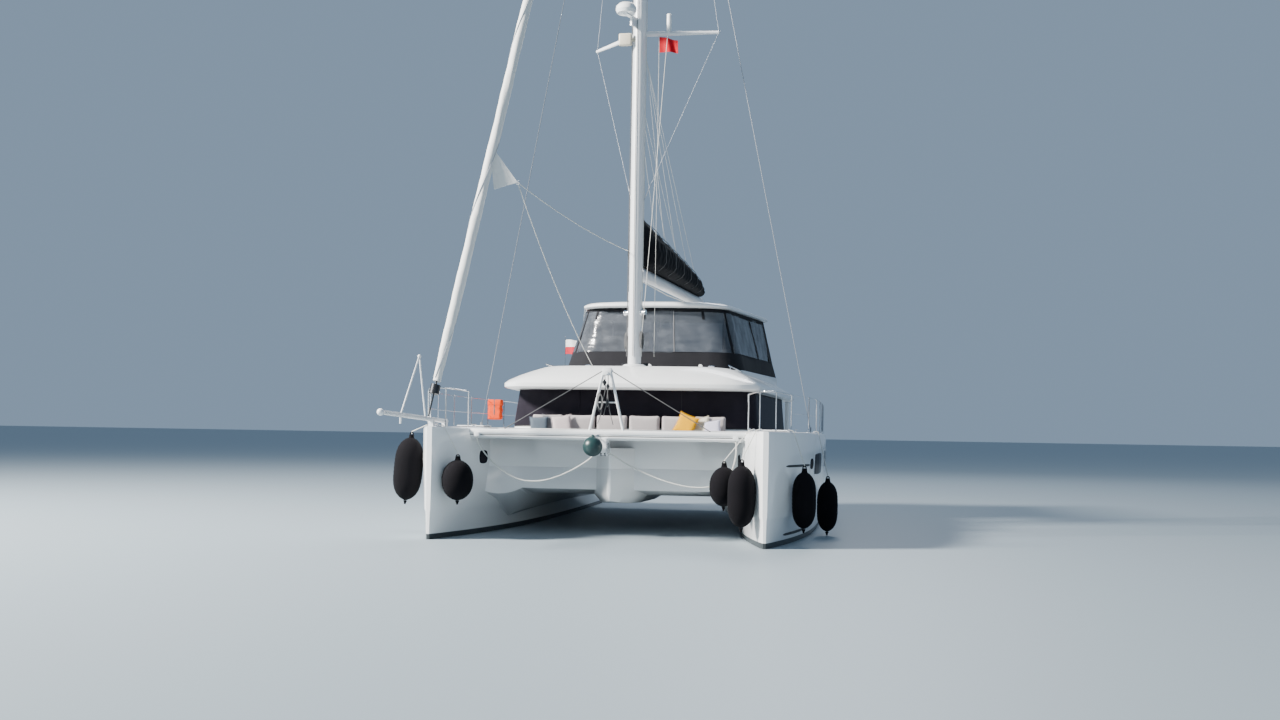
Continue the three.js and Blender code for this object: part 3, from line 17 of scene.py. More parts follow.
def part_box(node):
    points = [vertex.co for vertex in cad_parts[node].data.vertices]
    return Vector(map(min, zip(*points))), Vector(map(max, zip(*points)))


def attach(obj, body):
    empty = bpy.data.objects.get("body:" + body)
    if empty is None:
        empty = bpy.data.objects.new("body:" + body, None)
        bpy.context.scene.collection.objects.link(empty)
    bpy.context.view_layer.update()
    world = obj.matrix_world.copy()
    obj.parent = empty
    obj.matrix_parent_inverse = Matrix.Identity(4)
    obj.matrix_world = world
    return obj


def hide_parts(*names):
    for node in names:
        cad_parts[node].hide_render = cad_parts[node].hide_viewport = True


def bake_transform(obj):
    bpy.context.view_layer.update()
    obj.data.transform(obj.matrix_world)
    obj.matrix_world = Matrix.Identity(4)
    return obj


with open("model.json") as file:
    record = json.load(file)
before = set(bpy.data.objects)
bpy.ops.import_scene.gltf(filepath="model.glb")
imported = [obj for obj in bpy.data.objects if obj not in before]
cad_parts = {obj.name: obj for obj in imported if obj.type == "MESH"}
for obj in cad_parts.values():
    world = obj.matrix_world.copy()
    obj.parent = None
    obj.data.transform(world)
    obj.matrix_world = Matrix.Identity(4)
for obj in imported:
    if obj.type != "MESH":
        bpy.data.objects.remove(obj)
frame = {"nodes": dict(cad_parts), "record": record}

LOG = logging.getLogger("catamaran")
Point = Sequence[float]
Colour = tuple[float, float, float]

PLATFORM = "platform"
BOOM_BODY = "boom"
HALF_LENGTH = 7.0
HULL_X = 3.05
DECK_Z = 2.06
UP = (0.0, 0.0, 1.0)


class Side(Enum):
    """One side of the boat, with the sign of its x."""

    PORT = 1
    STARBOARD = -1

    @property
    def word(self) -> str:
        """The side's name as the nodes spell it."""
        return self.name.lower()


def at(x: float, aft: float, z: float) -> Vector:
    """A point from its x, its distance aft of the bows and its height, in metres."""
    return Vector((x, aft - HALF_LENGTH, z))


def step_up(height: float) -> Vector:
    """A step straight up."""
    return Vector((0.0, 0.0, height))


def rotation(degrees: float, axis: str) -> Matrix:
    """A turn about one axis."""
    return Matrix.Rotation(math.radians(degrees), 4, axis)


def shares(count: int) -> list[float]:
    """Even steps from 0 to 1."""
    return [i / count for i in range(count + 1)]


def turns(count: int) -> list[float]:
    """Even steps once round a circle, in radians."""
    return [2.0 * math.pi * share for share in shares(count)]


# Shader maths


class Value:
    """A shader socket that adds Math nodes when it is used in an expression."""

    def __init__(self, tree: bpy.types.NodeTree, socket: bpy.types.NodeSocket) -> None:
        """Wraps a socket.

        Args:
            tree: the node tree that the socket is in.
            socket: an output socket that carries a number.
        """
        self.tree = tree
        self.socket = socket

    def math(self, operation: str, *others: "Number", clamp: bool = False) -> "Value":
        """Adds one Math node.

        Args:
            operation: the Math node's operation.
            others: the operands after this one.
            clamp: whether the result is kept between 0 and 1.

        Returns:
            The node's result.
        """
        return _math(self.tree, operation, (self, *others), clamp)

    def __add__(self, other: "Number") -> "Value":
        """This plus other."""
        return self.math("ADD", other)

    def __radd__(self, other: "Number") -> "Value":
        """Other plus this."""
        return self.math("ADD", other)

    def __sub__(self, other: "Number") -> "Value":
        """This minus other."""
        return self.math("SUBTRACT", other)

    def __rsub__(self, other: "Number") -> "Value":
        """Other minus this."""
        return _math(self.tree, "SUBTRACT", (other, self))

    def __mul__(self, other: "Number") -> "Value":
        """This times other."""
        return self.math("MULTIPLY", other)

    def __rmul__(self, other: "Number") -> "Value":
        """Other times this."""
        return self.math("MULTIPLY", other)

    def __truediv__(self, other: "Number") -> "Value":
        """This over other."""
        return self.math("DIVIDE", other)

    def __gt__(self, other: "Number") -> "Value":
        """1 where this is over other, else 0."""
        return self.math("GREATER_THAN", other)

    def __lt__(self, other: "Number") -> "Value":
        """1 where this is under other, else 0."""
        return self.math("LESS_THAN", other)

    def __abs__(self) -> "Value":
        """The value without its sign."""
        return self.math("ABSOLUTE")

    def clamped(self) -> "Value":
        """The value kept between 0 and 1."""
        return self.math("ADD", 0.0, clamp=True)


Number = Union[Value, float, int]


def _math(
    tree: bpy.types.NodeTree, operation: str, operands: Iterable[Number], clamp: bool = False,
) -> Value:
    """Adds a Math node whose operands are numbers or sockets.

    Args:
        tree: the node tree.
        operation: the Math node's operation.
        operands: its inputs in order.
        clamp: whether the result is kept between 0 and 1.

    Returns:
        The node's result.
    """
    node = tree.nodes.new("ShaderNodeMath")
    node.operation = operation
    node.use_clamp = clamp
    for socket, operand in zip(node.inputs, operands):
        if isinstance(operand, Value):
            tree.links.new(operand.socket, socket)
        else:
            socket.default_value = operand
    return Value(tree, node.outputs[0])


class Shader:
    """A material's node tree, with short calls for the nodes that the finishes use."""

    def __init__(self, name: str) -> None:
        """Makes a new material with a Principled BSDF.

        Args:
            name: the material's name.
        """
        self.material = bpy.data.materials.new(name)
        self.material.use_nodes = True
        self.tree = self.material.node_tree
        self.bsdf = next(n for n in self.tree.nodes if n.type == "BSDF_PRINCIPLED")
        self.output = next(n for n in self.tree.nodes if n.type == "OUTPUT_MATERIAL")
        self._object = None

    def node(self, kind: str, settings: dict | None = None, inputs: dict | None = None) -> bpy.types.Node:
        """Adds any node.

        Args:
            kind: the node's type name after "ShaderNode".
            settings: attributes set first, with a ramp's stops under "stops".
            inputs: values or links by the socket's name or number.

        Returns:
            The node.
        """
        made = self.tree.nodes.new(f"ShaderNode{kind}")
        for key, value in (settings or {}).items():
            if key == "stops":
                ramp = made.color_ramp
                while len(ramp.elements) < len(value):
                    ramp.elements.new(0.5)
                for element, (place, colour) in zip(ramp.elements, value):
                    element.position = place
                    element.color = (*colour, 1.0)
            else:
                setattr(made, key, value)
        for key, value in (inputs or {}).items():
            self._feed(made.inputs[key], value)
        return made

    def _feed(self, socket: bpy.types.NodeSocket, value: object) -> None:
        """Links or sets one input socket."""
        if isinstance(value, Value):
            self.tree.links.new(value.socket, socket)
        elif isinstance(value, bpy.types.NodeSocket):
            self.tree.links.new(value, socket)
        elif isinstance(value, (tuple, list)) and socket.type == "RGBA" and len(value) == 3:
            socket.default_value = (*value, 1.0)
        else:
            socket.default_value = value

    @property
    def place(self) -> bpy.types.NodeSocket:
        """The Object coordinates."""
        if self._object is None:
            self._object = self.node("TexCoord").outputs["Object"]
        return self._object

    def axes(self) -> tuple[Value, Value, Value]:
        """The three Object coordinates as numbers."""
        split = self.node("SeparateXYZ", inputs={0: self.place})
        return tuple(Value(self.tree, split.outputs[i]) for i in range(3))

    def facing(self) -> tuple[Value, Value, Value]:
        """The true normal's three parts as numbers."""
        split = self.node("SeparateXYZ", inputs={0: self.node("NewGeometry").outputs["Normal"]})
        return tuple(Value(self.tree, split.outputs[i]) for i in range(3))

    def noise(self, scale: float, detail: float = 2.0, rough: float = 0.5, where: object = None) -> Value:
        """A noise value from 0 to 1.

        Args:
            scale: waves per metre, about.
            detail: the octaves.
            rough: the octaves' roughness.
            where: coordinates, if not the Object coordinates.

        Returns:
            The noise.
        """
        made = self.node("TexNoise", None, {
            "Vector": self.place if where is None else where, "Scale": scale, "Detail": detail,
            "Roughness": rough,
        })
        return Value(self.tree, made.outputs["Fac"])

    def waves(self, scale: float, direction: str, distortion: float = 0.0, profile: str = "SIN") -> Value:
        """Straight bands along one axis.

        Args:
            scale: the wave texture's scale.
            direction: X, Y, Z or DIAGONAL.
            distortion: how far the bands wander.
            profile: SIN, SAW or TRI.

        Returns:
            The bands from 0 to 1.
        """
        made = self.node("TexWave", {"bands_direction": direction, "wave_profile": profile}, {
            "Vector": self.place, "Scale": scale, "Distortion": distortion,
        })
        return Value(self.tree, made.outputs["Fac"])

    def cells(self, scale: float, feature: str = "F1") -> Value:
        """Distances in a Voronoi pattern."""
        made = self.node("TexVoronoi", {"feature": feature}, {"Vector": self.place, "Scale": scale})
        return Value(self.tree, made.outputs["Distance"])

    def mix(self, factor: Number, first: object, second: object) -> bpy.types.NodeSocket:
        """Mixes two colours by a factor."""
        made = self.node("Mix", {"data_type": "RGBA"}, {0: factor, 6: first, 7: second})
        return made.outputs[2]

    def bump(
        self, height: Number, strength: float, distance: float, under: object = None,
    ) -> bpy.types.NodeSocket:
        """Adds a Bump node.

        Args:
            height: the height pattern.
            strength: from 0 to 1.
            distance: the pattern's depth in metres.
            under: another bump's normal that this one lies on.

        Returns:
            The normal.
        """
        inputs = {"Height": height, "Strength": strength, "Distance": distance}
        if under is not None:
            inputs["Normal"] = under
        return self.node("Bump", None, inputs).outputs["Normal"]

    def dress(self, **inputs: object) -> bpy.types.Material:
        """Sets the Principled BSDF's sockets, with underscores for the spaces in their names.

        Args:
            inputs: values or links.

        Returns:
            The material.
        """
        for key, value in inputs.items():
            self._feed(self.bsdf.inputs[key.replace("_", " ")], value)
        return self.material


# Finishes


@dataclass(frozen=True)
class Gelcoat:
    """Glossy white moulding, with non-slip on its level faces and bottom paint under the waterline."""

    name: str = "gelcoat"
    white: Colour = (0.87, 0.88, 0.875)
    grey: Colour = (0.66, 0.67, 0.67)
    paint: Colour = (0.012, 0.017, 0.03)
    boot_top: float = 0.10
    non_slip: bool = True
    bottom_paint: bool = False

    def build(self) -> bpy.types.Material:
        """Makes the material.

        Returns:
            The material.
        """
        s = Shader(self.name)
        _, _, z = s.axes()
        _, _, up = s.facing()
        soft = s.noise(0.9, 3.0)
        colour = s.mix((soft - 0.5) * 0.35 + 0.12, self.white, (0.80, 0.82, 0.825))
        rough = s.noise(3.0, 4.0) * 0.1 + 0.13
        normal = s.bump(s.noise(1.3, 1.0), 0.12, 0.012)
        if self.non_slip:
            level = ((up - 0.9) * 14.0).clamped()
            grain = s.cells(420.0)
            colour = s.mix(level * 0.75, colour, s.mix(s.noise(7.0, 5.0), self.grey, (0.74, 0.75, 0.75)))
            rough = rough + level * 0.4
            normal = s.bump(grain * level, 0.5, 0.0015, normal)
        if self.bottom_paint:
            edge = z - self.boot_top
            below = ((edge * -220.0) + 0.5).clamped()
            stain = ((0.42 - z) * 2.4).clamped() * s.noise(5.0, 6.0, 0.65)
            colour = s.mix(stain * 0.3, colour, (0.60, 0.60, 0.52))
            fouled = s.mix(s.noise(26.0, 6.0, 0.7), self.paint, (0.03, 0.04, 0.035))
            colour = s.mix(below, colour, fouled)
            rough = rough + below * 0.5
        return s.dress(
            Base_Color=colour, Roughness=rough, Normal=normal, Coat_Weight=0.35, Coat_Roughness=0.06,
        )


@dataclass(frozen=True)
class Canvas:
    """Woven outdoor cloth with a visible thread, a little dust and slow folds."""

    name: str
    colour: Colour
    faded: Colour
    thread: float = 900.0
    roughness: float = 0.82
    crease: float = 0.35
    sheen: float = 0.25
    specular: float = 0.4

    def build(self) -> bpy.types.Material:
        """Makes the material.

        Returns:
            The material.
        """
        s = Shader(self.name)
        x, y, z = s.axes()
        weave = ((x + y) * self.thread).math("SINE") * ((z + y * 0.4) * self.thread).math("SINE")
        dust = s.noise(2.2, 5.0, 0.6)
        _, _, up = s.facing()
        fade = (dust * 0.6 + up.clamped() * 0.35).clamped()
        colour = s.mix(fade, self.colour, self.faded)
        colour = s.mix((weave * 0.5 + 0.5) * 0.22, colour, self.faded)
        fold = s.bump(s.noise(5.0, 3.0, 0.55), self.crease, 0.012)
        normal = s.bump(weave, 0.3, 0.0006, fold)
        return s.dress(
            Base_Color=colour, Roughness=s.noise(40.0, 2.0) * 0.12 + self.roughness - 0.06, Normal=normal,
            Sheen_Weight=self.sheen, Sheen_Roughness=0.5, Specular_IOR_Level=self.specular,
        )


@dataclass(frozen=True)
class Metal:
    """Polished, brushed, painted or cast metal."""

    name: str
    colour: Colour
    roughness: float
    metallic: float = 1.0
    stain: Colour = (0.45, 0.36, 0.28)
    stained: float = 0.12
    grain: float = 90.0

    def build(self) -> bpy.types.Material:
        """Makes the material.

        Returns:
            The material.
        """
        s = Shader(self.name)
        spots = (s.noise(14.0, 6.0, 0.7) - 0.56) * 4.0
        colour = s.mix(spots.clamped() * self.stained, self.colour, self.stain)
        rough = s.noise(self.grain, 3.0) * 0.14 + self.roughness - 0.05
        normal = s.bump(s.noise(self.grain * 3.0, 2.0), 0.08, 0.0006)
        return s.dress(Base_Color=colour, Roughness=rough, Metallic=self.metallic, Normal=normal)


@dataclass(frozen=True)
class Glass:
    """Dark tinted glazing."""

    name: str = "tinted_glass"
    colour: Colour = (0.012, 0.011, 0.014)
    roughness: float = 0.04

    def build(self) -> bpy.types.Material:
        """Makes the material.

        Returns:
            The material.
        """
        s = Shader(self.name)
        smear = s.noise(3.0, 5.0, 0.6)
        colour = s.mix(smear * 0.6, self.colour, (0.035, 0.03, 0.042))
        return s.dress(
            Base_Color=colour, Roughness=smear * 0.06 + self.roughness,
            Normal=s.bump(s.noise(1.1, 1.0), 0.06, 0.01),
            Coat_Weight=0.08, Coat_Roughness=0.03, IOR=1.01,
        )


@dataclass(frozen=True)
class ClearVinyl:
    """Flexible clear sheet, a little milky and wavy, with painted highlight streaks along its ripples."""

    name: str = "clear_vinyl"
    colour: Colour = (0.030, 0.035, 0.045)

    def build(self) -> bpy.types.Material:
        """Makes the material.

        Returns:
            The material.
        """
        s = Shader(self.name)
        haze_and_highlight = s.noise(3.5, 4.0, 0.6)
        stretched = s.node("Mapping", None, {0: s.place, "Scale": (1.0, 1.0, 3.2)}).outputs[0]
        ripple = s.noise(2.4, 3.0, 0.5, stretched)
        normal = s.bump(ripple, 0.55, 0.035)
        # The pale grey streaks along the ripples are partly milky haze and partly painted highlight; the
        # same noise also sets alpha and roughness.
        return s.dress(
            Base_Color=s.mix(haze_and_highlight * ripple, self.colour, (0.24, 0.26, 0.29)), Alpha=haze_and_highlight * 0.25 + 0.58,
            Roughness=haze_and_highlight * 0.14 + 0.09, Normal=normal, Coat_Weight=0.1, Specular_IOR_Level=0.3,
        )


@dataclass(frozen=True)
class Teak:
    """Oiled wood in narrow planks."""

    name: str = "teak"
    plank: float = 0.06

    def build(self) -> bpy.types.Material:
        """Makes the material.

        Returns:
            The material.
        """
        s = Shader(self.name)
        x, _, _ = s.axes()
        seam = abs((x / self.plank).math("FRACT") - 0.5) > 0.46
        grain = s.noise(
            30.0, 6.0, 0.7, s.node("Mapping", None, {0: s.place, "Scale": (1.0, 0.08, 1.0)}).outputs[0],
        )
        colour = s.mix(grain, (0.30, 0.17, 0.08), (0.50, 0.33, 0.19))
        colour = s.mix(seam * 0.85, colour, (0.02, 0.02, 0.02))
        return s.dress(
            Base_Color=colour, Roughness=grain * 0.2 + 0.45, Normal=s.bump(grain - seam, 0.25, 0.001),
        )


@dataclass(frozen=True)
class Braid:
    """Braided rope or webbing."""

    name: str
    colour: Colour
    fleck: Colour
    pitch: float = 520.0

    def build(self) -> bpy.types.Material:
        """Makes the material.

        Returns:
            The material.
        """
        s = Shader(self.name)
        x, y, z = s.axes()
        strand = ((x + z) * self.pitch).math("SINE") * ((x - z + y) * self.pitch).math("SINE")
        colour = s.mix((strand * 0.5 + 0.5) * 0.5, self.colour, self.fleck)
        colour = s.mix(s.noise(9.0, 4.0) * 0.3, colour, (0.45, 0.43, 0.36))
        return s.dress(Base_Color=colour, Roughness=0.85, Normal=s.bump(strand, 0.6, 0.0012))


@dataclass(frozen=True)
class Plastic:
    """Moulded plastic or rubber."""

    name: str
    colour: Colour
    roughness: float = 0.4

    def build(self) -> bpy.types.Material:
        """Makes the material.

        Returns:
            The material.
        """
        s = Shader(self.name)
        cloud = s.noise(6.0, 5.0, 0.6)
        paler = tuple(c + (1.0 - c) * 0.03 for c in self.colour)
        return s.dress(
            Base_Color=s.mix(cloud * 0.7, self.colour, paler),
            Roughness=cloud * 0.15 + self.roughness - 0.07,
            Normal=s.bump(s.noise(160.0, 2.0), 0.12, 0.0006),
        )


@dataclass(frozen=True)
class TwoBandCloth:
    """Flag cloth with a white band over a red one."""

    name: str
    split_z: float
    upper: Colour = (0.86, 0.86, 0.85)
    lower: Colour = (0.56, 0.008, 0.03)

    def build(self) -> bpy.types.Material:
        """Makes the material.

        Returns:
            The material.
        """
        s = Shader(self.name)
        x, _, z = s.axes()
        weave = (x * 2600.0).math("SINE") * (z * 2600.0).math("SINE")
        upper = ((z - self.split_z) * 400.0 + 0.5).clamped()
        colour = s.mix(upper, self.lower, self.upper)
        return s.dress(
            Base_Color=s.mix((weave * 0.5 + 0.5) * 0.1, colour, (0.2, 0.05, 0.06)), Roughness=0.85,
            Normal=s.bump(weave, 0.3, 0.0004), Sheen_Weight=0.2,
        )


class Finishes:
    """Every finish of the boat, each built once and found by its slot's name."""

    def __init__(self) -> None:
        """Builds all materials."""
        specs = {
            "gelcoat": Gelcoat(),
            "hull": Gelcoat(name="hull_gelcoat", bottom_paint=True),
            "deck_white": Gelcoat(name="deck_moulding"),
            "fabric_black": Canvas(
                "black_canvas", (0.003, 0.003, 0.004), (0.011, 0.011, 0.014), sheen=0.02, specular=0.15,
            ),
            "fender_cover": Canvas(
                "fender_cover", (0.002, 0.002, 0.003), (0.006, 0.005, 0.007), 600.0, 0.9, 0.2, 0.01, 0.12,
            ),
            "net_black": Canvas("net_webbing", (0.010, 0.010, 0.012), (0.05, 0.05, 0.05), thread=260.0),
            "canvas_dark": Canvas(
                "dark_canvas", (0.005, 0.005, 0.007), (0.018, 0.018, 0.022), crease=0.55, sheen=0.03,
                specular=0.2,
            ),
            "fabric_grey": Canvas("grey_upholstery", (0.24, 0.23, 0.225), (0.33, 0.32, 0.31), sheen=0.05),
            "fabric_pale": Canvas("pale_upholstery", (0.50, 0.48, 0.48), (0.64, 0.62, 0.62)),
            "fabric_rest": Canvas(
                "backrest_upholstery", (0.36, 0.325, 0.325), (0.47, 0.43, 0.43), sheen=0.05,
            ),
            "fabric_rose": Canvas(
                "rose_grey_weave", (0.46, 0.38, 0.38), (0.58, 0.50, 0.50), 700.0, sheen=0.05,
            ),
            "fabric_lilac": Canvas(
                "lilac_white_weave", (0.42, 0.41, 0.52), (0.56, 0.55, 0.66), 700.0, sheen=0.05,
            ),
            "fabric_ash": Canvas("ash_weave", (0.15, 0.15, 0.165), (0.24, 0.24, 0.255), 700.0, sheen=0.05),
            "fabric_cream": Canvas("cream_weave", (0.52, 0.47, 0.37), (0.64, 0.59, 0.48), 700.0, sheen=0.05),
            "fabric_amber": Canvas(
                "amber_weave", (0.62, 0.29, 0.0), (0.70, 0.36, 0.0), 700.0, sheen=0.0, specular=0.1,
            ),
            "fabric_blue": Canvas(
                "blue_grey_weave", (0.055, 0.075, 0.10), (0.11, 0.14, 0.175), 700.0, sheen=0.03,
            ),
            "fabric_orange": Canvas(
                "orange_bag", (0.70, 0.045, 0.004), (0.80, 0.09, 0.012), crease=0.3, sheen=0.0, specular=0.2,
            ),
            "flag_cloth": TwoBandCloth("flag_cloth", split_z=4.33),
            "sail_cloth": Canvas(
                "sail_cloth", (0.72, 0.72, 0.69), (0.84, 0.84, 0.82), thread=1200.0, crease=0.5, sheen=0.1,
            ),
            "rope": Braid("white_braid", (0.74, 0.74, 0.70), (0.55, 0.55, 0.50)),
            "dark_rope": Braid("dark_braid", (0.03, 0.035, 0.05), (0.12, 0.12, 0.13)),
            "steel": Metal("polished_stainless", (0.80, 0.81, 0.83), 0.14),
            "wire": Metal("weathered_wire", (0.30, 0.32, 0.35), 0.45, 0.5),
            "alloy": Metal("painted_spar", (0.78, 0.79, 0.80), 0.32, 0.0, (0.55, 0.52, 0.46), 0.2),
            "dark_alloy": Metal("black_anodised", (0.03, 0.032, 0.036), 0.35, 0.6),
            "glass_dark": Glass(),
            "vinyl_clear": ClearVinyl(),
            "rubber_green": Plastic("dark_green_vinyl", (0.002, 0.028, 0.028), 0.34),
            "rubber_black": Plastic("black_rubber", (0.012, 0.012, 0.013), 0.6),
            "plastic_white": Plastic("white_plastic", (0.80, 0.81, 0.80), 0.3),
            "plastic_cream": Plastic("cream_plastic", (0.62, 0.56, 0.44), 0.4),
            "pennant_red": Canvas(
                "red_pennant", (0.45, 0.006, 0.015), (0.52, 0.02, 0.03), 2000.0, sheen=0.0, specular=0.2,
            ),
            "sail_strip": Canvas("sail_edge_cloth", (0.34, 0.36, 0.40), (0.50, 0.52, 0.55), thread=1200.0),
            "teak": Teak(),
            "antifoul": Metal("bottom_paint", (0.012, 0.017, 0.03), 0.7, 0.0),
            "bronze": Metal("cast_bronze", (0.55, 0.38, 0.17), 0.3),
        }
        self.made = {key: spec.build() for key, spec in specs.items()}

    def __getitem__(self, key: str) -> bpy.types.Material:
        """The material of that name."""
        return self.made[key]


# Modelling


def select_only(*objects: bpy.types.Object) -> None:
    """Selects just these objects, the last of them active."""
    bpy.ops.object.select_all(action="DESELECT")
    for obj in objects:
        obj.select_set(True)
    bpy.context.view_layer.objects.active = objects[-1]


def primitive(operator: Callable, **settings: object) -> bpy.types.Object:
    """Adds one primitive with nothing else selected."""
    bpy.ops.object.select_all(action="DESELECT")
    operator(**settings)
    return bpy.context.active_object


@contextmanager
def editing(obj: bpy.types.Object) -> Iterator[None]:
    """Edit mode on one object, with all of it selected."""
    select_only(obj)
    bpy.ops.object.mode_set(mode="EDIT")
    bpy.ops.mesh.select_all(action="SELECT")
    yield
    bpy.ops.object.mode_set(mode="OBJECT")


def modified(obj: bpy.types.Object, kind: str, **settings: object) -> bpy.types.Object:
    """Adds one modifier, sets it and applies it."""
    modifier = obj.modifiers.new(kind.lower(), kind)
    for key, value in settings.items():
        setattr(modifier, key, value)
    select_only(obj)
    bpy.ops.object.modifier_apply(modifier=modifier.name)
    return obj


def bake_place(obj: bpy.types.Object) -> bpy.types.Object:
    """Moves an object's place into its mesh, so that it sits at the origin."""
    select_only(obj)
    bpy.ops.object.transform_apply(location=True, rotation=True, scale=True)
    return obj


def join_all(name: str, parts: Sequence[bpy.types.Object]) -> bpy.types.Object:
    """Joins separate objects into one named piece.

    Args:
        name: the piece's name.
        parts: the objects, each already in place.

    Returns:
        The piece.
    """
    for part in parts:
        bake_place(part)
    select_only(*parts)
    if len(parts) > 1:
        bpy.ops.object.join()
    piece = bpy.context.view_layer.objects.active
    piece.name = name
    piece.data.name = name
    return piece


def smooth(obj: bpy.types.Object, degrees: float = 32.0) -> bpy.types.Object:
    """Shades an object smooth, except over sharp edges."""
    select_only(obj)
    bpy.ops.object.shade_smooth_by_angle(angle=math.radians(degrees))
    return obj


def block(low: Point, high: Point, bevel: float = 0.0, segments: int = 2) -> bpy.types.Object:
    """A box between two corners with rounded edges.

    Args:
        low: its lowest corner.
        high: its highest corner.
        bevel: the edges' radius.
        segments: the steps of each rounded edge.

    Returns:
        The object.
    """
    low, high = Vector(low), Vector(high)
    obj = primitive(bpy.ops.mesh.primitive_cube_add, size=1.0, location=(low + high) / 2)
    obj.scale = high - low
    bake_place(obj)
    if bevel:
        with editing(obj):
            bpy.ops.mesh.bevel(offset=bevel, segments=segments, profile=0.5)
    return obj


def rod(start: Point, end: Point, radius: float, sides: int = 12, tip: float = 1.0) -> bpy.types.Object:
    """A round rod between two points.

    Args:
        start: the centre of its first end.
        end: the centre of its other end.
        radius: its radius at the start.
        sides: its sides.
        tip: its radius at the end, as a share of the other.

    Returns:
        The object.
    """
    start, end = Vector(start), Vector(end)
    way = end - start
    return bake_place(primitive(
        bpy.ops.mesh.primitive_cone_add, vertices=sides, radius1=radius, radius2=radius * tip,
        depth=way.length, location=(start + end) / 2, rotation=way.to_track_quat("Z", "Y").to_euler(),
    ))


def pin(centre: Vector, reach: Point, radius: float, sides: int = 12) -> bpy.types.Object:
    """A round rod through a centre that reaches the same distance both ways."""
    return rod(centre - Vector(reach), centre + Vector(reach), radius, sides)


def ring(centre: Point, radius: float, thickness: float, sides: int, tube: int) -> bpy.types.Object:
    """A round ring that stands upright across the boat."""
    return bake_place(primitive(
        bpy.ops.mesh.primitive_torus_add, location=centre, rotation=(math.radians(90.0), 0.0, 0.0),
        major_radius=radius, minor_radius=thickness, major_segments=sides, minor_segments=tube,
    ))


def turned(
    base: Point, axis: Point, profile: Sequence[tuple[float, float]], sides: int = 24,
) -> bpy.types.Object:
    """A turned body: a circle extruded and resized step by step.

    Args:
        base: the point where the profile's height is 0.
        axis: the way the height runs.
        profile: radius and height of each step, with closed ends.
        sides: the circle's points.

    Returns:
        The object.
    """
    (radius, height), *steps = profile
    obj = primitive(
        bpy.ops.mesh.primitive_circle_add, vertices=sides, radius=radius, fill_type="NGON",
        location=(0.0, 0.0, height),
    )
    with editing(obj):
        for next_radius, next_height in steps:
            rise = {"value": (0.0, 0.0, next_height - height)}
            bpy.ops.mesh.extrude_region_move(TRANSFORM_OT_translate=rise)
            scale = next_radius / radius
            bpy.ops.transform.resize(value=(scale, scale, 1.0))
            radius, height = next_radius, next_height
        bpy.ops.mesh.select_all(action="SELECT")
        bpy.ops.mesh.normals_make_consistent(inside=False)
    bake_place(obj)
    obj.data.transform(
        Matrix.Translation(Vector(base)) @ Vector(axis).to_track_quat("Z", "Y").to_matrix().to_4x4()
    )
    return obj


def line(
    name: str, points: Sequence[Point], radius: float, sides: int = 3, smooth_line: bool = True,
) -> bpy.types.Object:
    """A rope or wire as a curve of one open spline.

    Args:
        name: the object's name.
        points: the way it takes.
        radius: its radius.
        sides: the curve's bevel resolution.
        smooth_line: whether it bends smoothly between the points.

    Returns:
        The curve object.
    """
    data = bpy.data.curves.new(name, "CURVE")
    data.dimensions = "3D"
    data.bevel_depth = radius
    data.bevel_resolution = sides
    data.use_fill_caps = True
    spline = data.splines.new("NURBS" if smooth_line else "POLY")
    spline.points.add(len(points) - 1)
    for knot, place in zip(spline.points, points):
        knot.co = (*place, 1.0)
    if smooth_line:
        spline.order_u = 3
        spline.use_endpoint_u = True
    obj = bpy.data.objects.new(name, data)
    bpy.context.collection.objects.link(obj)
    return obj


def meshed(curve: bpy.types.Object) -> bpy.types.Object:
    """Turns a curve object into a mesh."""
    select_only(curve)
    bpy.ops.object.convert(target="MESH")
    return bpy.context.active_object


def node_copy(node: str, name: str) -> bpy.types.Object:
    """A merged copy of a node's mesh as a new object.

    Args:
        node: the node's name.
        name: the new object's name.

    Returns:
        The copy.
    """
    source = frame["nodes"][node]
    obj = bpy.data.objects.new(name, source.data.copy())
    obj.data.materials.clear()
    bpy.context.collection.objects.link(obj)
    obj.hide_render = False
    obj.hide_viewport = False
    with editing(obj):
        bpy.ops.mesh.remove_doubles(threshold=0.00002)
        bpy.ops.mesh.dissolve_limited(angle_limit=math.radians(0.5))
    return obj


# Curved forms


Way = Callable[["Rim"], float]


def surface(
    name: str, columns: int, rows: int, place: Callable[[float, float], Point], thickness: float = 0.0,
) -> bpy.types.Object:
    """A curved sheet: a grid whose points are put in place one by one.

    Args:
        name: the object's name.
        columns: its faces across.
        rows: its faces along.
        place: the point for a share across and a share along, each from 0 to 1.
        thickness: the wall's thickness, or 0 for a form that closes on itself.

    Returns:
        The object.
    """
    obj = primitive(
        bpy.ops.mesh.primitive_grid_add, x_subdivisions=columns, y_subdivisions=rows, size=2.0,
    )
    obj.name = name
    for vertex in obj.data.vertices:
        vertex.co = place((vertex.co.x + 1.0) / 2.0, (vertex.co.y + 1.0) / 2.0)
    return modified(obj, "SOLIDIFY", thickness=thickness, offset=0.0) if thickness else obj


def close_up(obj: bpy.types.Object) -> bpy.types.Object:
    """Merges points that meet and turns the faces outwards."""
    with editing(obj):
        bpy.ops.mesh.remove_doubles(threshold=0.0001)
        bpy.ops.mesh.normals_make_consistent(inside=False)
    return obj


def end_capped(obj: bpy.types.Object) -> bpy.types.Object:
    """Closes the open ends of a loft and turns its faces outwards."""
    with editing(obj):
        bpy.ops.mesh.select_all(action="DESELECT")
        bpy.ops.mesh.select_mode(type="EDGE")
        bpy.ops.mesh.select_non_manifold()
        bpy.ops.mesh.edge_face_add()
        bpy.ops.mesh.select_mode(type="VERT")
    return close_up(obj)


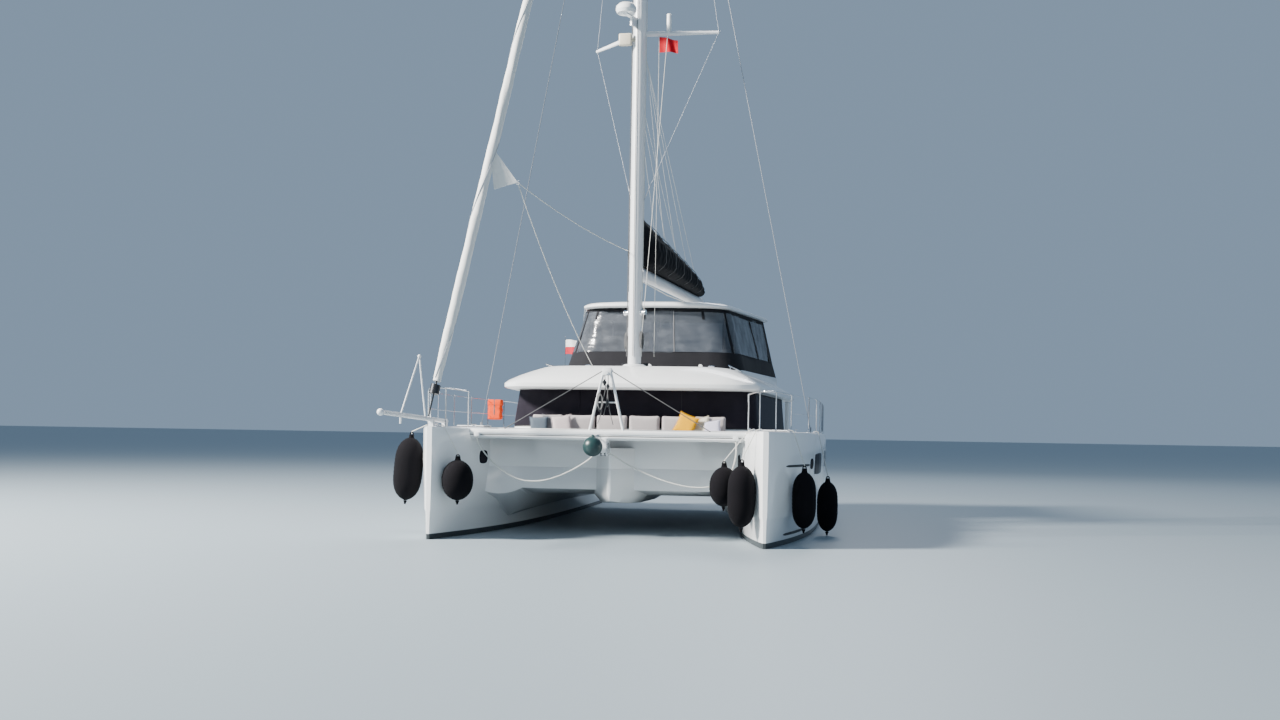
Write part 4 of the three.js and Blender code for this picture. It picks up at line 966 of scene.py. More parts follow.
@dataclass(frozen=True)
class Plan:
    """An outline seen from above: a bulging front, sides that may widen aft, and rounded corners."""

    front: float
    back: float
    front_half: float
    back_half: float
    front_radius: float
    back_radius: float
    bulge: float

    def drawn_in(self, inset: float, rounder: float | None = None) -> "Plan":
        """The plan drawn in all round.

        Args:
            inset: how far.
            rounder: what the corners' radii gain, or None for the loss that keeps them parallel.

        Returns:
            The new plan.
        """
        gain = -inset if rounder is None else rounder
        return Plan(
            self.front + inset, self.back - inset, self.front_half - inset, self.back_half - inset,
            self.front_radius + gain, self.back_radius + gain, self.bulge,
        )

    def mixed(self, other: "Plan", share: float) -> "Plan":
        """The plan between this one and another."""
        pairs = zip(astuple(self), astuple(other))
        return Plan(*(a + (b - a) * share for a, b in pairs))


class Rim:
    """The port half of a plan's outline, walked from the middle of its front to the middle of its back."""

    steps = 16

    def __init__(self, plan: Plan) -> None:
        """Lays out the points.

        Args:
            plan: the plan.
        """
        self.plan = plan
        points = [
            (i / self.steps * (plan.front_half - plan.front_radius), plan.front)
            for i in range(self.steps)
        ]
        for across, along, radius, start in (
            (plan.front_half - plan.front_radius, plan.front + plan.front_radius, plan.front_radius, -90.0),
            (plan.back_half - plan.back_radius, plan.back - plan.back_radius, plan.back_radius, 0.0),
        ):
            for i in range(self.steps + 1):
                angle = math.radians(start + 90.0 * i / self.steps)
                points.append((across + radius * math.cos(angle), along + radius * math.sin(angle)))
        points.append((0.0, plan.back))
        limit = plan.front + plan.front_radius
        self.points = [
            (
                x, aft - plan.bulge * (1.0 - (x / plan.front_half) ** 2) if aft < limit else aft,
            ) for x, aft in points
        ]
        self.ways = [0.0]
        for (x0, aft0), (x1, aft1) in zip(self.points, self.points[1:]):
            self.ways.append(self.ways[-1] + math.hypot(x1 - x0, aft1 - aft0))
        self.corner = self.ways[2 * self.steps]
        self.length = self.ways[-1]

    def at(self, way: float) -> tuple[float, float]:
        """The x and the distance aft at a way along the rim, port positive."""
        reach = min(abs(way), self.length)
        i = max(1, next((k for k, w in enumerate(self.ways) if w >= reach), len(self.ways) - 1))
        share = (reach - self.ways[i - 1]) / max(self.ways[i] - self.ways[i - 1], 1e-9)
        (x0, aft0), (x1, aft1) = self.points[i - 1], self.points[i]
        return math.copysign(x0 + (x1 - x0) * share, way), aft0 + (aft1 - aft0) * share

    def abeam(self, aft: float) -> float:
        """The way at which the side passes a distance aft."""
        for i in range(self.steps, len(self.points) - 1):
            (_, aft0), (_, aft1) = self.points[i], self.points[i + 1]
            if aft0 <= aft <= aft1 and aft1 > aft0:
                return self.ways[i] + (self.ways[i + 1] - self.ways[i]) * (aft - aft0) / (aft1 - aft0)
        return self.length


def corner_way(share: float) -> Way:
    """A place on the front, as a share of the way from its middle round to the side."""
    return lambda rim: share * rim.corner


def side_way(aft: float, side: int = 1) -> Way:
    """A place on one side, by its distance aft."""
    return lambda rim: side * rim.abeam(aft)


def back_way(x: float) -> Way:
    """A place on the back, by its x."""
    return lambda rim: math.copysign(rim.length - abs(x), x)


@dataclass(frozen=True)
class Wall:
    """A leaning wall that follows a plan at its foot and another at its top."""

    low_plan: Plan
    high_plan: Plan
    low: float
    high: float

    def rim(self, z: float, inset: float) -> Rim:
        """The wall's rim at one height."""
        share = (z - self.low) / (self.high - self.low)
        return Rim(self.low_plan.mixed(self.high_plan, share).drawn_in(inset))

    def point(self, way: Way, z: float, inset: float = 0.0) -> Vector:
        """One point on the wall."""
        rim = self.rim(z, inset)
        return at(*rim.at(way(rim)), z)

    def patch(
        self, name: str, start: Way, end: Way, low: float, high: float, inset: float, thickness: float,
        cells: tuple[int, int], ripple: Callable[[float, float], float] | None = None,
    ) -> bpy.types.Object:
        """A sheet on the wall between two ways and two heights.

        Args:
            name: the object's name.
            start: its first edge.
            end: its last edge.
            low: its lower height.
            high: its upper height.
            inset: how far it lies inside the wall's face, or outside if it is negative.
            thickness: the sheet's thickness.
            cells: its faces along and up.
            ripple: an extra inset from the way and the height.

        Returns:
            The object.
        """
        rims = [self.rim(low + (high - low) * i / cells[1], inset) for i in range(cells[1] + 1)]

        def place(u: float, v: float) -> Vector:
            """The sheet's point for two shares."""
            rim = rims[round(v * cells[1])]
            first, last = start(rim), end(rim)
            way = first + (last - first) * u
            z = low + (high - low) * v
            x, aft = rim.at(way)
            if ripple is None:
                return at(x, aft, z)
            shift = ripple(way, z)
            ahead, behind = rim.at(way + 0.01), rim.at(way - 0.01)
            run = Vector((ahead[0] - behind[0], ahead[1] - behind[1], 0.0)).normalized()
            return at(x, aft, z) + shift * Vector((-run.y, run.x, 0.0))

        return surface(name, cells[0], cells[1], place, thickness)


def waves(*terms: tuple[float, float, float, float]) -> Callable[[float, float], float]:
    """A sum of sine waves over two lengths.

    Args:
        terms: each wave's height, its count of radians per metre along and up, and its start.

    Returns:
        The function of the two lengths.
    """
    return lambda a, b: sum(height * math.sin(p * a + q * b + start) for height, p, q, start in terms)


class Cast:
    """Lays small flat pieces on the side of a node."""

    def __init__(self, node: str) -> None:
        """Reads the node's mesh.

        Args:
            node: the node's name.
        """
        mesh = frame["nodes"][node].data
        self.tree = BVHTree.FromPolygons(
            [v.co for v in mesh.vertices], [tuple(p.vertices) for p in mesh.polygons],
        )

    def across(self, y: float, z: float, start_x: float, way: int, lift: float) -> Vector:
        """The point of the surface that a line along x meets first, lifted off it.

        Args:
            y: the line's y.
            z: the line's z.
            start_x: where the line starts.
            way: 1 towards larger x, -1 towards smaller x.
            lift: the distance off the surface.

        Returns:
            The point.
        """
        hit, normal, _, _ = self.tree.ray_cast(Vector((start_x, y, z)), Vector((way, 0.0, 0.0)))
        if hit is None:
            return Vector((start_x, y, z))
        if normal.x * way > 0.0:
            normal = -normal
        return hit + normal * lift


def rounded_cell(u: float, v: float, roundness: float) -> tuple[float, float]:
    """A point of a square with rounded corners, from -1 to 1 each way."""
    a, b = 2.0 * u - 1.0, 2.0 * v - 1.0
    return (
        a * (1.0 - roundness + roundness * math.sqrt(1.0 - b * b / 2.0)),
        b * (1.0 - roundness + roundness * math.sqrt(1.0 - a * a / 2.0)),
    )


def cable(
    name: str, points: Sequence[Point], radius: float, sides: int = 2, smooth_line: bool = False,
) -> bpy.types.Object:
    """A wire or rope as a smooth-shaded mesh tube."""
    return smooth(meshed(line(name, points, radius, sides, smooth_line)), 70.0)


def sagging(start: Point, end: Point, drop: float, steps: int = 10) -> list[Vector]:
    """Points on a line that hangs between two ends."""
    a, b = Vector(start), Vector(end)
    return [
        a.lerp(b, i / steps) - step_up(4.0 * drop * (i / steps) * (1 - i / steps))
        for i in range(steps + 1)
    ]


def duplicate(obj: bpy.types.Object) -> bpy.types.Object:
    """A copy with its own mesh."""
    copy = bpy.data.objects.new(obj.name, obj.data.copy())
    bpy.context.collection.objects.link(copy)
    return copy


def discard(*objects: bpy.types.Object) -> None:
    """Deletes patterns that were only there to be copied."""
    for obj in objects:
        bpy.data.objects.remove(obj, do_unlink=True)


def remeshed(obj: bpy.types.Object, voxel: float) -> bpy.types.Object:
    """Gives an object an even mesh."""
    return modified(obj, "REMESH", mode="VOXEL", voxel_size=voxel)


def subdivided(obj: bpy.types.Object, levels: int = 1) -> bpy.types.Object:
    """Subdivides a form into a rounder one."""
    return modified(obj, "SUBSURF", levels=levels, render_levels=levels)


def bevelled(obj: bpy.types.Object, width: float, segments: int, degrees: float) -> bpy.types.Object:
    """Rounds the edges that are sharper than an angle."""
    angle = math.radians(degrees)
    return modified(
        obj, "BEVEL", width=width, segments=segments, limit_method="ANGLE", angle_limit=angle,
    )


def inflated(obj: bpy.types.Object, pressure: float, cap: float) -> bpy.types.Object:
    """Blows up a closed form as sewn cloth, with a cap on how far a point may move.

    Args:
        obj: the form, evenly meshed.
        pressure: the cloth's pressure.
        cap: the farthest that a point may move.

    Returns:
        The form, settled, with one subdivision.
    """
    start = [v.co.copy() for v in obj.data.vertices]
    modifier = obj.modifiers.new("fill", "CLOTH")
    modifier.settings.use_pressure = True
    modifier.settings.uniform_pressure_force = pressure
    modifier.settings.effector_weights.gravity = 0.0
    modifier.settings.tension_stiffness = 20.0
    modifier.settings.bending_stiffness = 0.8
    modifier.settings.quality = 4
    for step in range(1, 21):
        bpy.context.scene.frame_set(step)
    select_only(obj)
    bpy.ops.object.modifier_apply(modifier=modifier.name)
    for vertex, before in zip(obj.data.vertices, start):
        move = vertex.co - before
        if move.length > cap:
            vertex.co = before + move.normalized() * cap
    bpy.context.scene.frame_set(1)
    return smooth(subdivided(obj), 60.0)


def pad(size: Point, edge: float, crown: float, voxel: float, cap: float) -> bpy.types.Object:
    """A stuffed pad about the origin, flat below and crowned above, with its piping.

    Args:
        size: its length, depth and height.
        edge: the radius of its edges.
        crown: how far its top rises in the middle.
        voxel: the mesh's cell size.
        cap: the farthest that the filling pushes a point.

    Returns:
        The pad.
    """
    half = Vector(size) / 2.0
    shrunk = half - Vector((cap, cap, cap)) * 0.8
    form = remeshed(block(-shrunk, shrunk, edge, 3), voxel)
    for vertex in form.data.vertices:
        a, b = vertex.co.x / half.x, vertex.co.y / half.y
        bulge = (1.0 - min(1.0, a * a)) * (1.0 - min(1.0, b * b))
        pull = 1.0 - 0.012 * (1.0 - abs(a)) * (1.0 if abs(b) > 0.8 else 0.0)
        vertex.co.z += crown * bulge * (vertex.co.z / half.z + 1.0) / 2.0
        vertex.co.y *= pull
    form = inflated(form, 4.0, cap)
    low, high = bounds_of(form)
    parts = [form]
    for level in (low.z + edge * 0.75, high.z - crown - edge * 0.75):
        parts.append(piping(form, level, 0.005))
    return join_all("pad", parts)


def bounds_of(obj: bpy.types.Object) -> tuple[Vector, Vector]:
    """The lowest and highest corners of an object's mesh."""
    places = [v.co for v in obj.data.vertices]
    return (
        Vector(min(p[i] for p in places) for i in range(3)),
        Vector(max(p[i] for p in places) for i in range(3)),
    )


def piping(form: bpy.types.Object, level: float, radius: float) -> bpy.types.Object:
    """A sewn cord round a form at one height.

    Args:
        form: the form, about the z axis.
        level: the cord's height.
        radius: its radius.

    Returns:
        The cord.
    """
    tree = BVHTree.FromObject(form, bpy.context.evaluated_depsgraph_get())
    middle = step_up(level)
    points = []
    for i in range(96):
        angle = 2.0 * math.pi * i / 96
        way = Vector((math.cos(angle), math.sin(angle), 0.0))
        hit = tree.ray_cast(middle + way * 5.0, -way)[0]
        if hit is not None:
            points.append(hit)
    return cable("piping", [*points, points[0]], radius, 1)


class Builder:
    """What every sub-assembly shares: the finishes, and the calls that put a piece on its body."""

    body: str = PLATFORM

    def __init__(self, finishes: Finishes) -> None:
        """Keeps the finishes.

        Args:
            finishes: the boat's finishes.
        """
        self.finishes = finishes

    def put(
        self, obj: bpy.types.Object, finish: str, slot: str | None = None, body: str | None = None,
        replaces: Sequence[str] = (), name: str | None = None, rides: bool = True,
    ) -> bpy.types.Object:
        """Gives a piece its finish and lets it ride on its body.

        Args:
            obj: the piece.
            finish: the finish's name.
            slot: not used.
            body: the body, if not the sub-assembly's own.
            replaces: the nodes that the piece stands for.
            name: its name, if it has none of its own yet.
            rides: whether it rides on a body; if not, it is left unattached.

        Returns:
            The piece.
        """
        obj.name = name or obj.name
        obj.data.materials.clear()
        obj.data.materials.append(self.finishes[finish])
        if rides:
            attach(obj, body or self.body)
        slot or finish
        if replaces:
            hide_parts(*replaces)
        LOG.info("piece %s on %s", obj.name, body or self.body)
        return obj

    def group(
        self, name: str, parts: Sequence[bpy.types.Object], finish: str, slot: str | None = None,
    ) -> bpy.types.Object:
        """Joins rigid parts into one smooth-shaded piece and dresses it."""
        return self.put(smooth(join_all(name, parts)), finish, slot)

    def bundle(
        self, name: str, parts: Sequence[bpy.types.Object], finish: str, slot: str | None = None,
    ) -> bpy.types.Object:
        """Joins lines or bands that are shaded already into one piece and dresses it."""
        return self.put(join_all(name, parts), finish, slot)

    def stuffed(
        self, form: bpy.types.Object, name: str, place: Matrix, finish: str, fill: float,
        replaces: Sequence[str] = (), slot: str = "fabric_pale",
    ) -> None:
        """Args:
            form: the pad.
            name: its name.
            place: its place.
            finish: the finish's name.
            fill: not used.
            replaces: the nodes that it stands for.
            slot: the record's slot.
        """
        form.data.transform(place)
        self.put(form, finish, slot, replaces=replaces, name=name)

    def hung(
        self, rope: bpy.types.Object, path: Sequence[Vector], diameter: float,
        replaces: tuple[str, ...] = (),
    ) -> None:
        """Adds a rope in the rope finish.

        Args:
            rope: its form.
            path: the points that it runs through.
            diameter: not used.
            replaces: the nodes that it stands for.
        """
        self.put(rope, "rope", replaces=replaces)
        length = sum((b - a).length for a, b in zip(path, path[1:]))
        tuple(path[0])
        [tuple(p) for p in path]

    def skin(
        self, node: str, finish: str, bevel: float = 0.0, degrees: float = 32.0, slot: str | None = None,
    ) -> bpy.types.Object:
        """A smooth-shaded piece of a rigid node's own form, with its edges rounded.

        Args:
            node: the node that it stands for.
            finish: the finish's name.
            bevel: the radius of the rounded edges.
            degrees: edges sharper than this stay sharp.
            slot: the record's slot, if not the finish's name.

        Returns:
            The piece.
        """
        obj = node_copy(node, f"{node}_skin")
        if bevel:
            bevelled(obj, bevel, 2, degrees + 8.0)
        return self.put(smooth(obj, degrees), finish, slot, self.body_of(node), (node,))

    @staticmethod
    def body_of(node: str) -> str:
        """The body that a node belongs to."""
        return next(b for b, members in frame["record"]["behaviour"]["bodies"].items() if node in members)


@dataclass
class View:
    """The photograph's viewpoint, the floor at the waterline and the soft light."""

    position: tuple[float, float, float] = (4.3, -30.0, 1.96)
    yaw_degrees: float = 8.60
    roll_degrees: float = 0.95
    lens: float = 36.9
    horizon_drop: float = 75.0 / 1280.0
    sky: Colour = (0.50, 0.70, 0.96)
    sky_strength: float = 0.46
    floor_size: float = 4000.0
    lamps = (
        # name, place, size, power, colour
        ("key", (-31.0, -20.0, 24.0), 6.0, 74000.0, (1.0, 0.965, 0.91)),
        ("fill", (22.0, -36.0, 10.0), 18.0, 900.0, (0.80, 0.90, 1.0)),
        ("back", (4.0, 34.0, 30.0), 14.0, 5000.0, (0.95, 0.97, 1.0)),
    )

    def build(self) -> None:
        """Adds the camera, the lights and the floor."""
        self.camera()
        self.lights()
        self.floor()

    def camera(self) -> None:
        """Adds the camera, turned and tilted, and makes it the scene's own."""
        data = bpy.data.cameras.new("view")
        data.lens = self.lens
        data.sensor_width = 36.0
        data.shift_y = self.horizon_drop
        data.clip_end = 5000.0
        camera = bpy.data.objects.new("view", data)
        turn = rotation(self.yaw_degrees, "Z") @ rotation(90.0, "X") @ rotation(self.roll_degrees, "Z")
        camera.matrix_world = Matrix.Translation(Vector(self.position)) @ turn
        bpy.context.scene.collection.objects.link(camera)
        bpy.context.scene.camera = camera

    def lights(self) -> None:
        """Adds a soft sky and three large soft lamps."""
        world = bpy.data.worlds.new("sky")
        bpy.context.scene.world = world
        world.use_nodes = True
        background = world.node_tree.nodes["Background"]
        background.inputs["Color"].default_value = (*self.sky, 1.0)
        background.inputs["Strength"].default_value = self.sky_strength
        for name, place, size, power, colour in self.lamps:
            data = bpy.data.lights.new(name, "AREA")
            data.size = size
            data.energy = power
            data.color = colour
            lamp = bpy.data.objects.new(name, data)
            lamp.location = place
            lamp.rotation_euler = (step_up(3.0) - Vector(place)).to_track_quat("-Z", "Y").to_euler()
            bpy.context.scene.collection.objects.link(lamp)

    def floor(self) -> None:
        """Adds the plain pale floor at the waterline."""
        floor = primitive(
            bpy.ops.mesh.primitive_plane_add, size=self.floor_size, location=(0.0, 0.0, 0.0),
        )
        floor.name = "floor"
        shader = Shader("pale_floor")
        floor.data.materials.append(shader.dress(Base_Color=(0.30, 0.36, 0.40), Roughness=0.5))


class Bridle(Builder):
    """The two slack white ropes between the bows and the anchor roller."""

    radius = 0.013
    routes = {
        "bridle_starboard": (
            (-2.440, 1.015, 1.882), (-2.425, 1.012, 1.800), (-2.370, 1.005, 1.700), (-2.285, 0.995, 1.580),
            (-2.170, 0.985, 1.455), (-2.030, 0.975, 1.330), (-1.870, 0.968, 1.215), (-1.690, 0.962, 1.125),
            (-1.500, 0.958, 1.075), (-1.300, 0.955, 1.065), (-1.100, 0.952, 1.090), (-0.900, 0.950, 1.150),
            (-0.700, 0.948, 1.235), (-0.500, 0.946, 1.340), (-0.300, 0.945, 1.470), (-0.160, 0.945, 1.590),
            (-0.0655, 0.945, 1.622),
        ),
        "bridle_port": (
            (2.440, 1.015, 1.882), (2.452, 1.012, 1.780), (2.450, 1.005, 1.640), (2.425, 0.995, 1.480),
            (2.370, 0.985, 1.320), (2.280, 0.975, 1.180), (2.150, 0.968, 1.085), (1.980, 0.962, 1.030),
            (1.780, 0.958, 1.010), (1.560, 0.955, 1.025), (1.330, 0.952, 1.070), (1.100, 0.950, 1.135),
            (0.870, 0.948, 1.220), (0.640, 0.946, 1.320), (0.410, 0.945, 1.435), (0.200, 0.945, 1.565),
            (0.0655, 0.945, 1.622),
        ),
    }

    def build(self) -> None:
        for node, route in self.routes.items():
            path = self.fine(route)
            rope = smooth(meshed(line(f"{node}_rope", path, self.radius, 4, smooth_line=False)), 60.0)
            self.hung(rope, path, 2 * self.radius, (node,))

    @staticmethod
    def fine(route: Sequence[Point], steps: int = 8) -> list[Vector]:
        """Points close together on a smooth line through a route.

        Args:
            route: the route's points as x, distance aft, height.
            steps: points for each stretch.

        Returns:
            The points in the frame.
        """
        knots = [at(*p) for p in route]
        ends = [2 * knots[0] - knots[1], *knots, 2 * knots[-1] - knots[-2]]
        points = []
        for a, b, c, d in zip(ends, ends[1:], ends[2:], ends[3:]):
            for i in range(steps):
                t = i / steps
                points.append(0.5 * (
                    2 * b + (c - a) * t + (
                        2 * a - 5 * b + 4 * c - d
                    ) * t * t + (3 * b - a - 3 * c + d) * t ** 3
                ))
        return [*points, knots[-1]]


class Hulls(Builder):
    """Both hulls, their portlights, grooves and deck cleats."""

    lift = 0.004
    thickness = 0.006
    lights = (
        # name, board (outer 1, inner -1), distance aft, height, length, tall, roundness, finish
        ("portlight_fore", -1, 1.60, 1.49, 0.33, 0.26, 0.62, "glass_dark"),
        ("portlight_oval", 1, 2.64, 1.456, 0.46, 0.21, 0.8, "glass_dark"),
        ("portlight_long", 1, 3.95, 1.44, 1.75, 0.42, 0.3, "glass_dark"),
        ("portlight_aft", 1, 7.4, 1.50, 1.9, 0.36, 0.3, "glass_dark"),
        ("portlight_stern", 1, 10.2, 1.56, 0.62, 0.28, 0.4, "glass_dark"),
        ("groove", 1, 1.52, 1.44, 1.68, 0.045, 0.5, "rubber_black"),
        # The next row is a black strip along the outer side, low down near the waterline.
        ("rub_mark", 1, 1.76, 0.19, 1.66, 0.05, 0.5, "rubber_black"),
    )
    cleats = ((1, 1.85), (-1, 1.55), (1, 6.6), (1, 11.4), (-1, 11.9))

    def build(self) -> None:
        """Dresses both hulls."""
        for side in Side:
            node = f"hull_{side.word}"
            self.skin(node, "hull", degrees=24.0, slot="gelcoat")
            cast = Cast(node)
            for row in self.lights:
                self.portlight(side, cast, row)
            for i, (board, aft) in enumerate(self.cleats):
                self.cleat(side, board, aft, i)

    def portlight(self, side: Side, cast: Cast, row: tuple) -> None:
        """Lays one window or groove on a hull's side, with its rim.

        Args:
            side: the hull's side.
            cast: the hull's surface.
            row: the window's row in the table.
        """
        name, board, aft, height, length, tall, roundness, finish = row
        outwards = side.value * board
        start = side.value * HULL_X + outwards * 3.0

        def sheet(grow: float, lift: float, thickness: float, label: str) -> bpy.types.Object:
            """One rounded sheet on the surface."""
            def place(u: float, v: float) -> Vector:
                """The sheet's point for two shares."""
                a, b = rounded_cell(u, v, roundness)
                along = aft + a * (length / 2 + grow) - HALF_LENGTH
                up = height + b * (tall / 2 + grow)
                return cast.across(along, up, start, -outwards, lift)
            return surface(label, 28, 10, place, thickness)

        pane = sheet(0.0, self.lift, self.thickness, f"{name}_{side.word}")
        self.put(smooth(pane, 50.0), finish, "glass_dark" if finish == "glass_dark" else "rubber_green")
        if finish == "glass_dark":
            rim = sheet(0.022, 0.002, 0.006, f"{name}_rim_{side.word}")
            self.put(smooth(rim, 50.0), "gelcoat")

    def cleat(self, side: Side, board: int, aft: float, number: int) -> None:
        """Adds one horn cleat on the deck's edge."""
        half = Hulls.deck_half(aft)
        x = side.value * (HULL_X + board * (half - 0.16))
        base = at(x, aft, DECK_Z + 0.001)
        parts = [
            turned(
                base + Vector((0.0, shift, 0.0)), UP,
                ((0.026, 0.0), (0.022, 0.006), (0.011, 0.012), (0.010, 0.05)), 12,
            )
            for shift in (-0.045, 0.045)
        ]
        parts.append(pin(base + step_up(0.052), (0.0, 0.12, 0.0), 0.011, 10))
        self.group(f"cleat_{side.word}_{number}", parts, "steel")

    @staticmethod
    def deck_half(aft: float) -> float:
        """Half of a hull's width at the deck."""
        table = (
            (0.0, 0.048), (0.3, 0.196), (0.9, 0.40), (2.0, 0.66), (3.5, 0.83), (5.5, 0.92), (8.0, 0.95),
            (14.0, 0.86),
        )
        for (a0, w0), (a1, w1) in zip(table, table[1:]):
            if a0 <= aft <= a1:
                return w0 + (w1 - w0) * (aft - a0) / (a1 - a0)
        return table[-1][1]


class Foredeck(Builder):
    """The bridgedeck, the crossbeam with its striker, the trampolines and the anchor gear."""

    beam_front = 1.08
    beam_back = 1.32
    reach = 2.885
    apex = (0.0, 1.2, 3.165)
    pulleys = (
        # x, height, size
        (-0.035, 2.93, 0.06), (0.03, 2.86, 0.05), (-0.09, 2.62, 0.055), (-0.12, 2.46, 0.07),
        (0.02, 2.52, 0.05),
    )
    tails = (
        # x and height of the upper end, x and height of the lower end, sway
        (-0.035, 3.06, -0.12, 2.44, 0.05),
        (0.03, 3.06, -0.05, 2.30, 0.03),
        (-0.10, 2.62, -0.16, 2.16, 0.04),
        (0.02, 2.86, 0.14, 2.14, -0.03),
    )

    def build(self) -> None:
        """Builds every piece of the foredeck."""
        self.skin("bridgedeck", "gelcoat", 0.10, degrees=50.0)
        self.skin("foredeck", "gelcoat", 0.014)
        self.skin("crossbeam", "gelcoat", 0.006)
        self.skin("trampoline", "net_black", degrees=20.0)
        self.skin("crossbeam_striker", "alloy", 0.004)
        self.beam()
        self.striker()
        self.lacing()
        self.anchor_gear()

    def beam(self) -> None:
        """Adds the crossbeam's rounded upper band and, under it, a thin black strip that is painted shadow
        for the band's shadow line.
        """
        reach = self.reach
        low, high = at(-reach, self.beam_front - 0.014, 1.93), at(reach, self.beam_back + 0.004, 2.034)
        self.put(smooth(block(low, high, 0.042, 5)), "gelcoat", name="crossbeam_cap")
        # A thin black strip under the cap: painted shadow standing in for the shadow line under the band.
        low, high = at(-reach, self.beam_front - 0.002, 1.915), at(reach, self.beam_front + 0.05, 1.93)
        self.put(block(low, high, 0.002, 1), "rubber_black", "rubber_green", name="crossbeam_groove")
        for side in Side:
            x = side.value * (reach - 0.02)
            collar = block(
                at(min(x, x - side.value * 0.10), self.beam_front - 0.022, 1.86),
                at(max(x, x - side.value * 0.10), self.beam_back + 0.012, 2.042), 0.02, 3,
            )
            self.put(smooth(collar), "gelcoat", name=f"beam_socket_{side.word}")

    def striker(self) -> None:
        """Adds the stays, the head fitting, the pulleys and the slack lines of the striker."""
        apex = at(*self.apex)
        wires = [
            cable(
                "stay", [apex + Vector((side.value * 0.06, 0.0, 0.0)), at(side.value * 1.96, 1.2, 2.036)],
                0.009,
            )
            for side in Side
        ]
        self.bundle("striker_stays", wires, "dark_rope", "rope")
        head = [
            block(apex + Vector((-0.085, -0.055, -0.10)), apex + Vector((0.085, 0.055, 0.015)), 0.012),
            pin(apex + step_up(-0.005), (0.11, 0.0, 0.0), 0.022),
            pin(apex + step_up(-0.05), (0.0, 0.075, 0.0), 0.03),
        ]
        self.group("striker_head", head, "alloy")
        blocks = []
        for x, z, size in self.pulleys:
            centre = at(x, 1.13, z)
            cheek = Vector((size * 0.3, 0.03, size))
            blocks.append(pin(centre, (0.0, 0.022, 0.0), size * 0.62, 18))
            blocks.append(block(centre - cheek, centre + cheek, 0.008))
        self.group("striker_blocks", blocks, "dark_alloy", "alloy")
        lines = []
        for x0, z0, x1, z1, sway in self.tails:
            path = [
                at(x0 + (x1 - x0) * t + sway * math.sin(3.1 * t), 1.14, z0 + (z1 - z0) * t)
                for t in shares(12)
            ]
            lines.append(cable("tail", path, 0.008, 2, True))
        self.bundle("striker_lines", lines, "dark_rope", "rope")
        coils = []
        for k in range(5):
            path = [
                at(
                    -0.13 + 0.045 * math.sin(a) + 0.008 * k, 1.12 - 0.01 * k,
                    2.60 + 0.135 * math.cos(a) - 0.01 * k,
                )
                for a in turns(20)
            ]
            coils.append(cable("turn", path, 0.009, 2, True))
        self.bundle("striker_coil", coils, "dark_rope", "rope")

    def lacing(self) -> None:
        """Laces the trampolines along the crossbeam and the spar between them."""
        lashings = []
        for side in Side:
            sign = side.value
            for share in shares(33):
                x = sign * (0.16 + 2.26 * share)
                lashings.append(rod(at(x, 1.325, 1.885), at(x + sign * 0.03, 1.375, 1.868), 0.006, 6))
            for i in range(14):
                aft = 1.42 + i * 0.062
                start, end = at(sign * 0.082, aft, 1.885), at(sign * 0.13, aft + 0.02, 1.868)
                lashings.append(rod(start, end, 0.006, 6))
        self.bundle("net_lashings", lashings, "rope")

    def anchor_gear(self) -> None:
        """Adds the roller and its side plates at the middle of the crossbeam."""
        plates = [
            block(at(x - 0.006, 0.87, 1.56), at(x + 0.006, 1.10, 1.80), 0.004) for x in (-0.07, 0.07)
        ]
        plates.append(rod(at(-0.075, 0.915, 1.60), at(0.075, 0.915, 1.60), 0.013))
        self.group("roller_plates", plates, "steel")
        wheel = turned(
            at(-0.052, 0.915, 1.60), (1, 0, 0),
            ((0.030, 0.0), (0.044, 0.006), (0.030, 0.052), (0.044, 0.098), (0.030, 0.104)),
        )
        self.put(smooth(wheel), "rubber_black", "rubber_green", name="roller_wheel")


class Cabin(Builder):
    """The cabin's walls, its flush dark glazing, the aft bulkhead and the door."""

    plan = Plan(4.05, 10.2, 2.62, 2.98, 0.62, 0.15, 0.15)
    wall = Wall(plan, Plan(4.28, 10.2, 2.54, 2.90, 0.62, 0.15, 0.15), 2.06, 2.99)
    glass_low = 2.13
    glass_high = 2.895
    joint = 0.006

    def build(self) -> None:
        """Builds every piece of the cabin."""
        self.skin("cabin_walls", "gelcoat", 0.006)
        self.skin("aft_bulkhead", "gelcoat", 0.006)
        self.skin("saloon_door", "glass_dark", 0.003)
        self.glazing()
        self.trims()

    def glazing(self) -> None:
        """Lays the panes edge to edge round the front and along both sides."""
        marks = [side_way(9.72, -1), side_way(7.24, -1), corner_way(-1.0), corner_way(-0.36)]
        marks += [corner_way(0.36), corner_way(1.0), side_way(7.24), side_way(9.72)]
        panes = []
        for i, (start, end) in enumerate(zip(marks, marks[1:])):
            first = lambda rim, start=start: start(rim) + self.joint / 2
            last = lambda rim, end=end: end(rim) - self.joint / 2
            panes.append(self.wall.patch(
                f"pane_{i}", first, last, self.glass_low, self.glass_high, -0.006, 0.011, (22, 8),
            ))
        for pane in panes:
            smooth(pane, 40.0)
        self.put(join_all("cabin_glazing", panes), "glass_dark", replaces=("cabin_glass",))

    def trims(self) -> None:
        """Adds the black seal under the panes."""
        seal = self.wall.patch(
            "glazing_seal", side_way(9.74, -1), side_way(9.74), self.glass_low - 0.03,
            self.glass_high + 0.01,
            -0.0022, 0.004, (90, 4),
        )
        self.put(smooth(seal, 40.0), "rubber_black", "rubber_green")


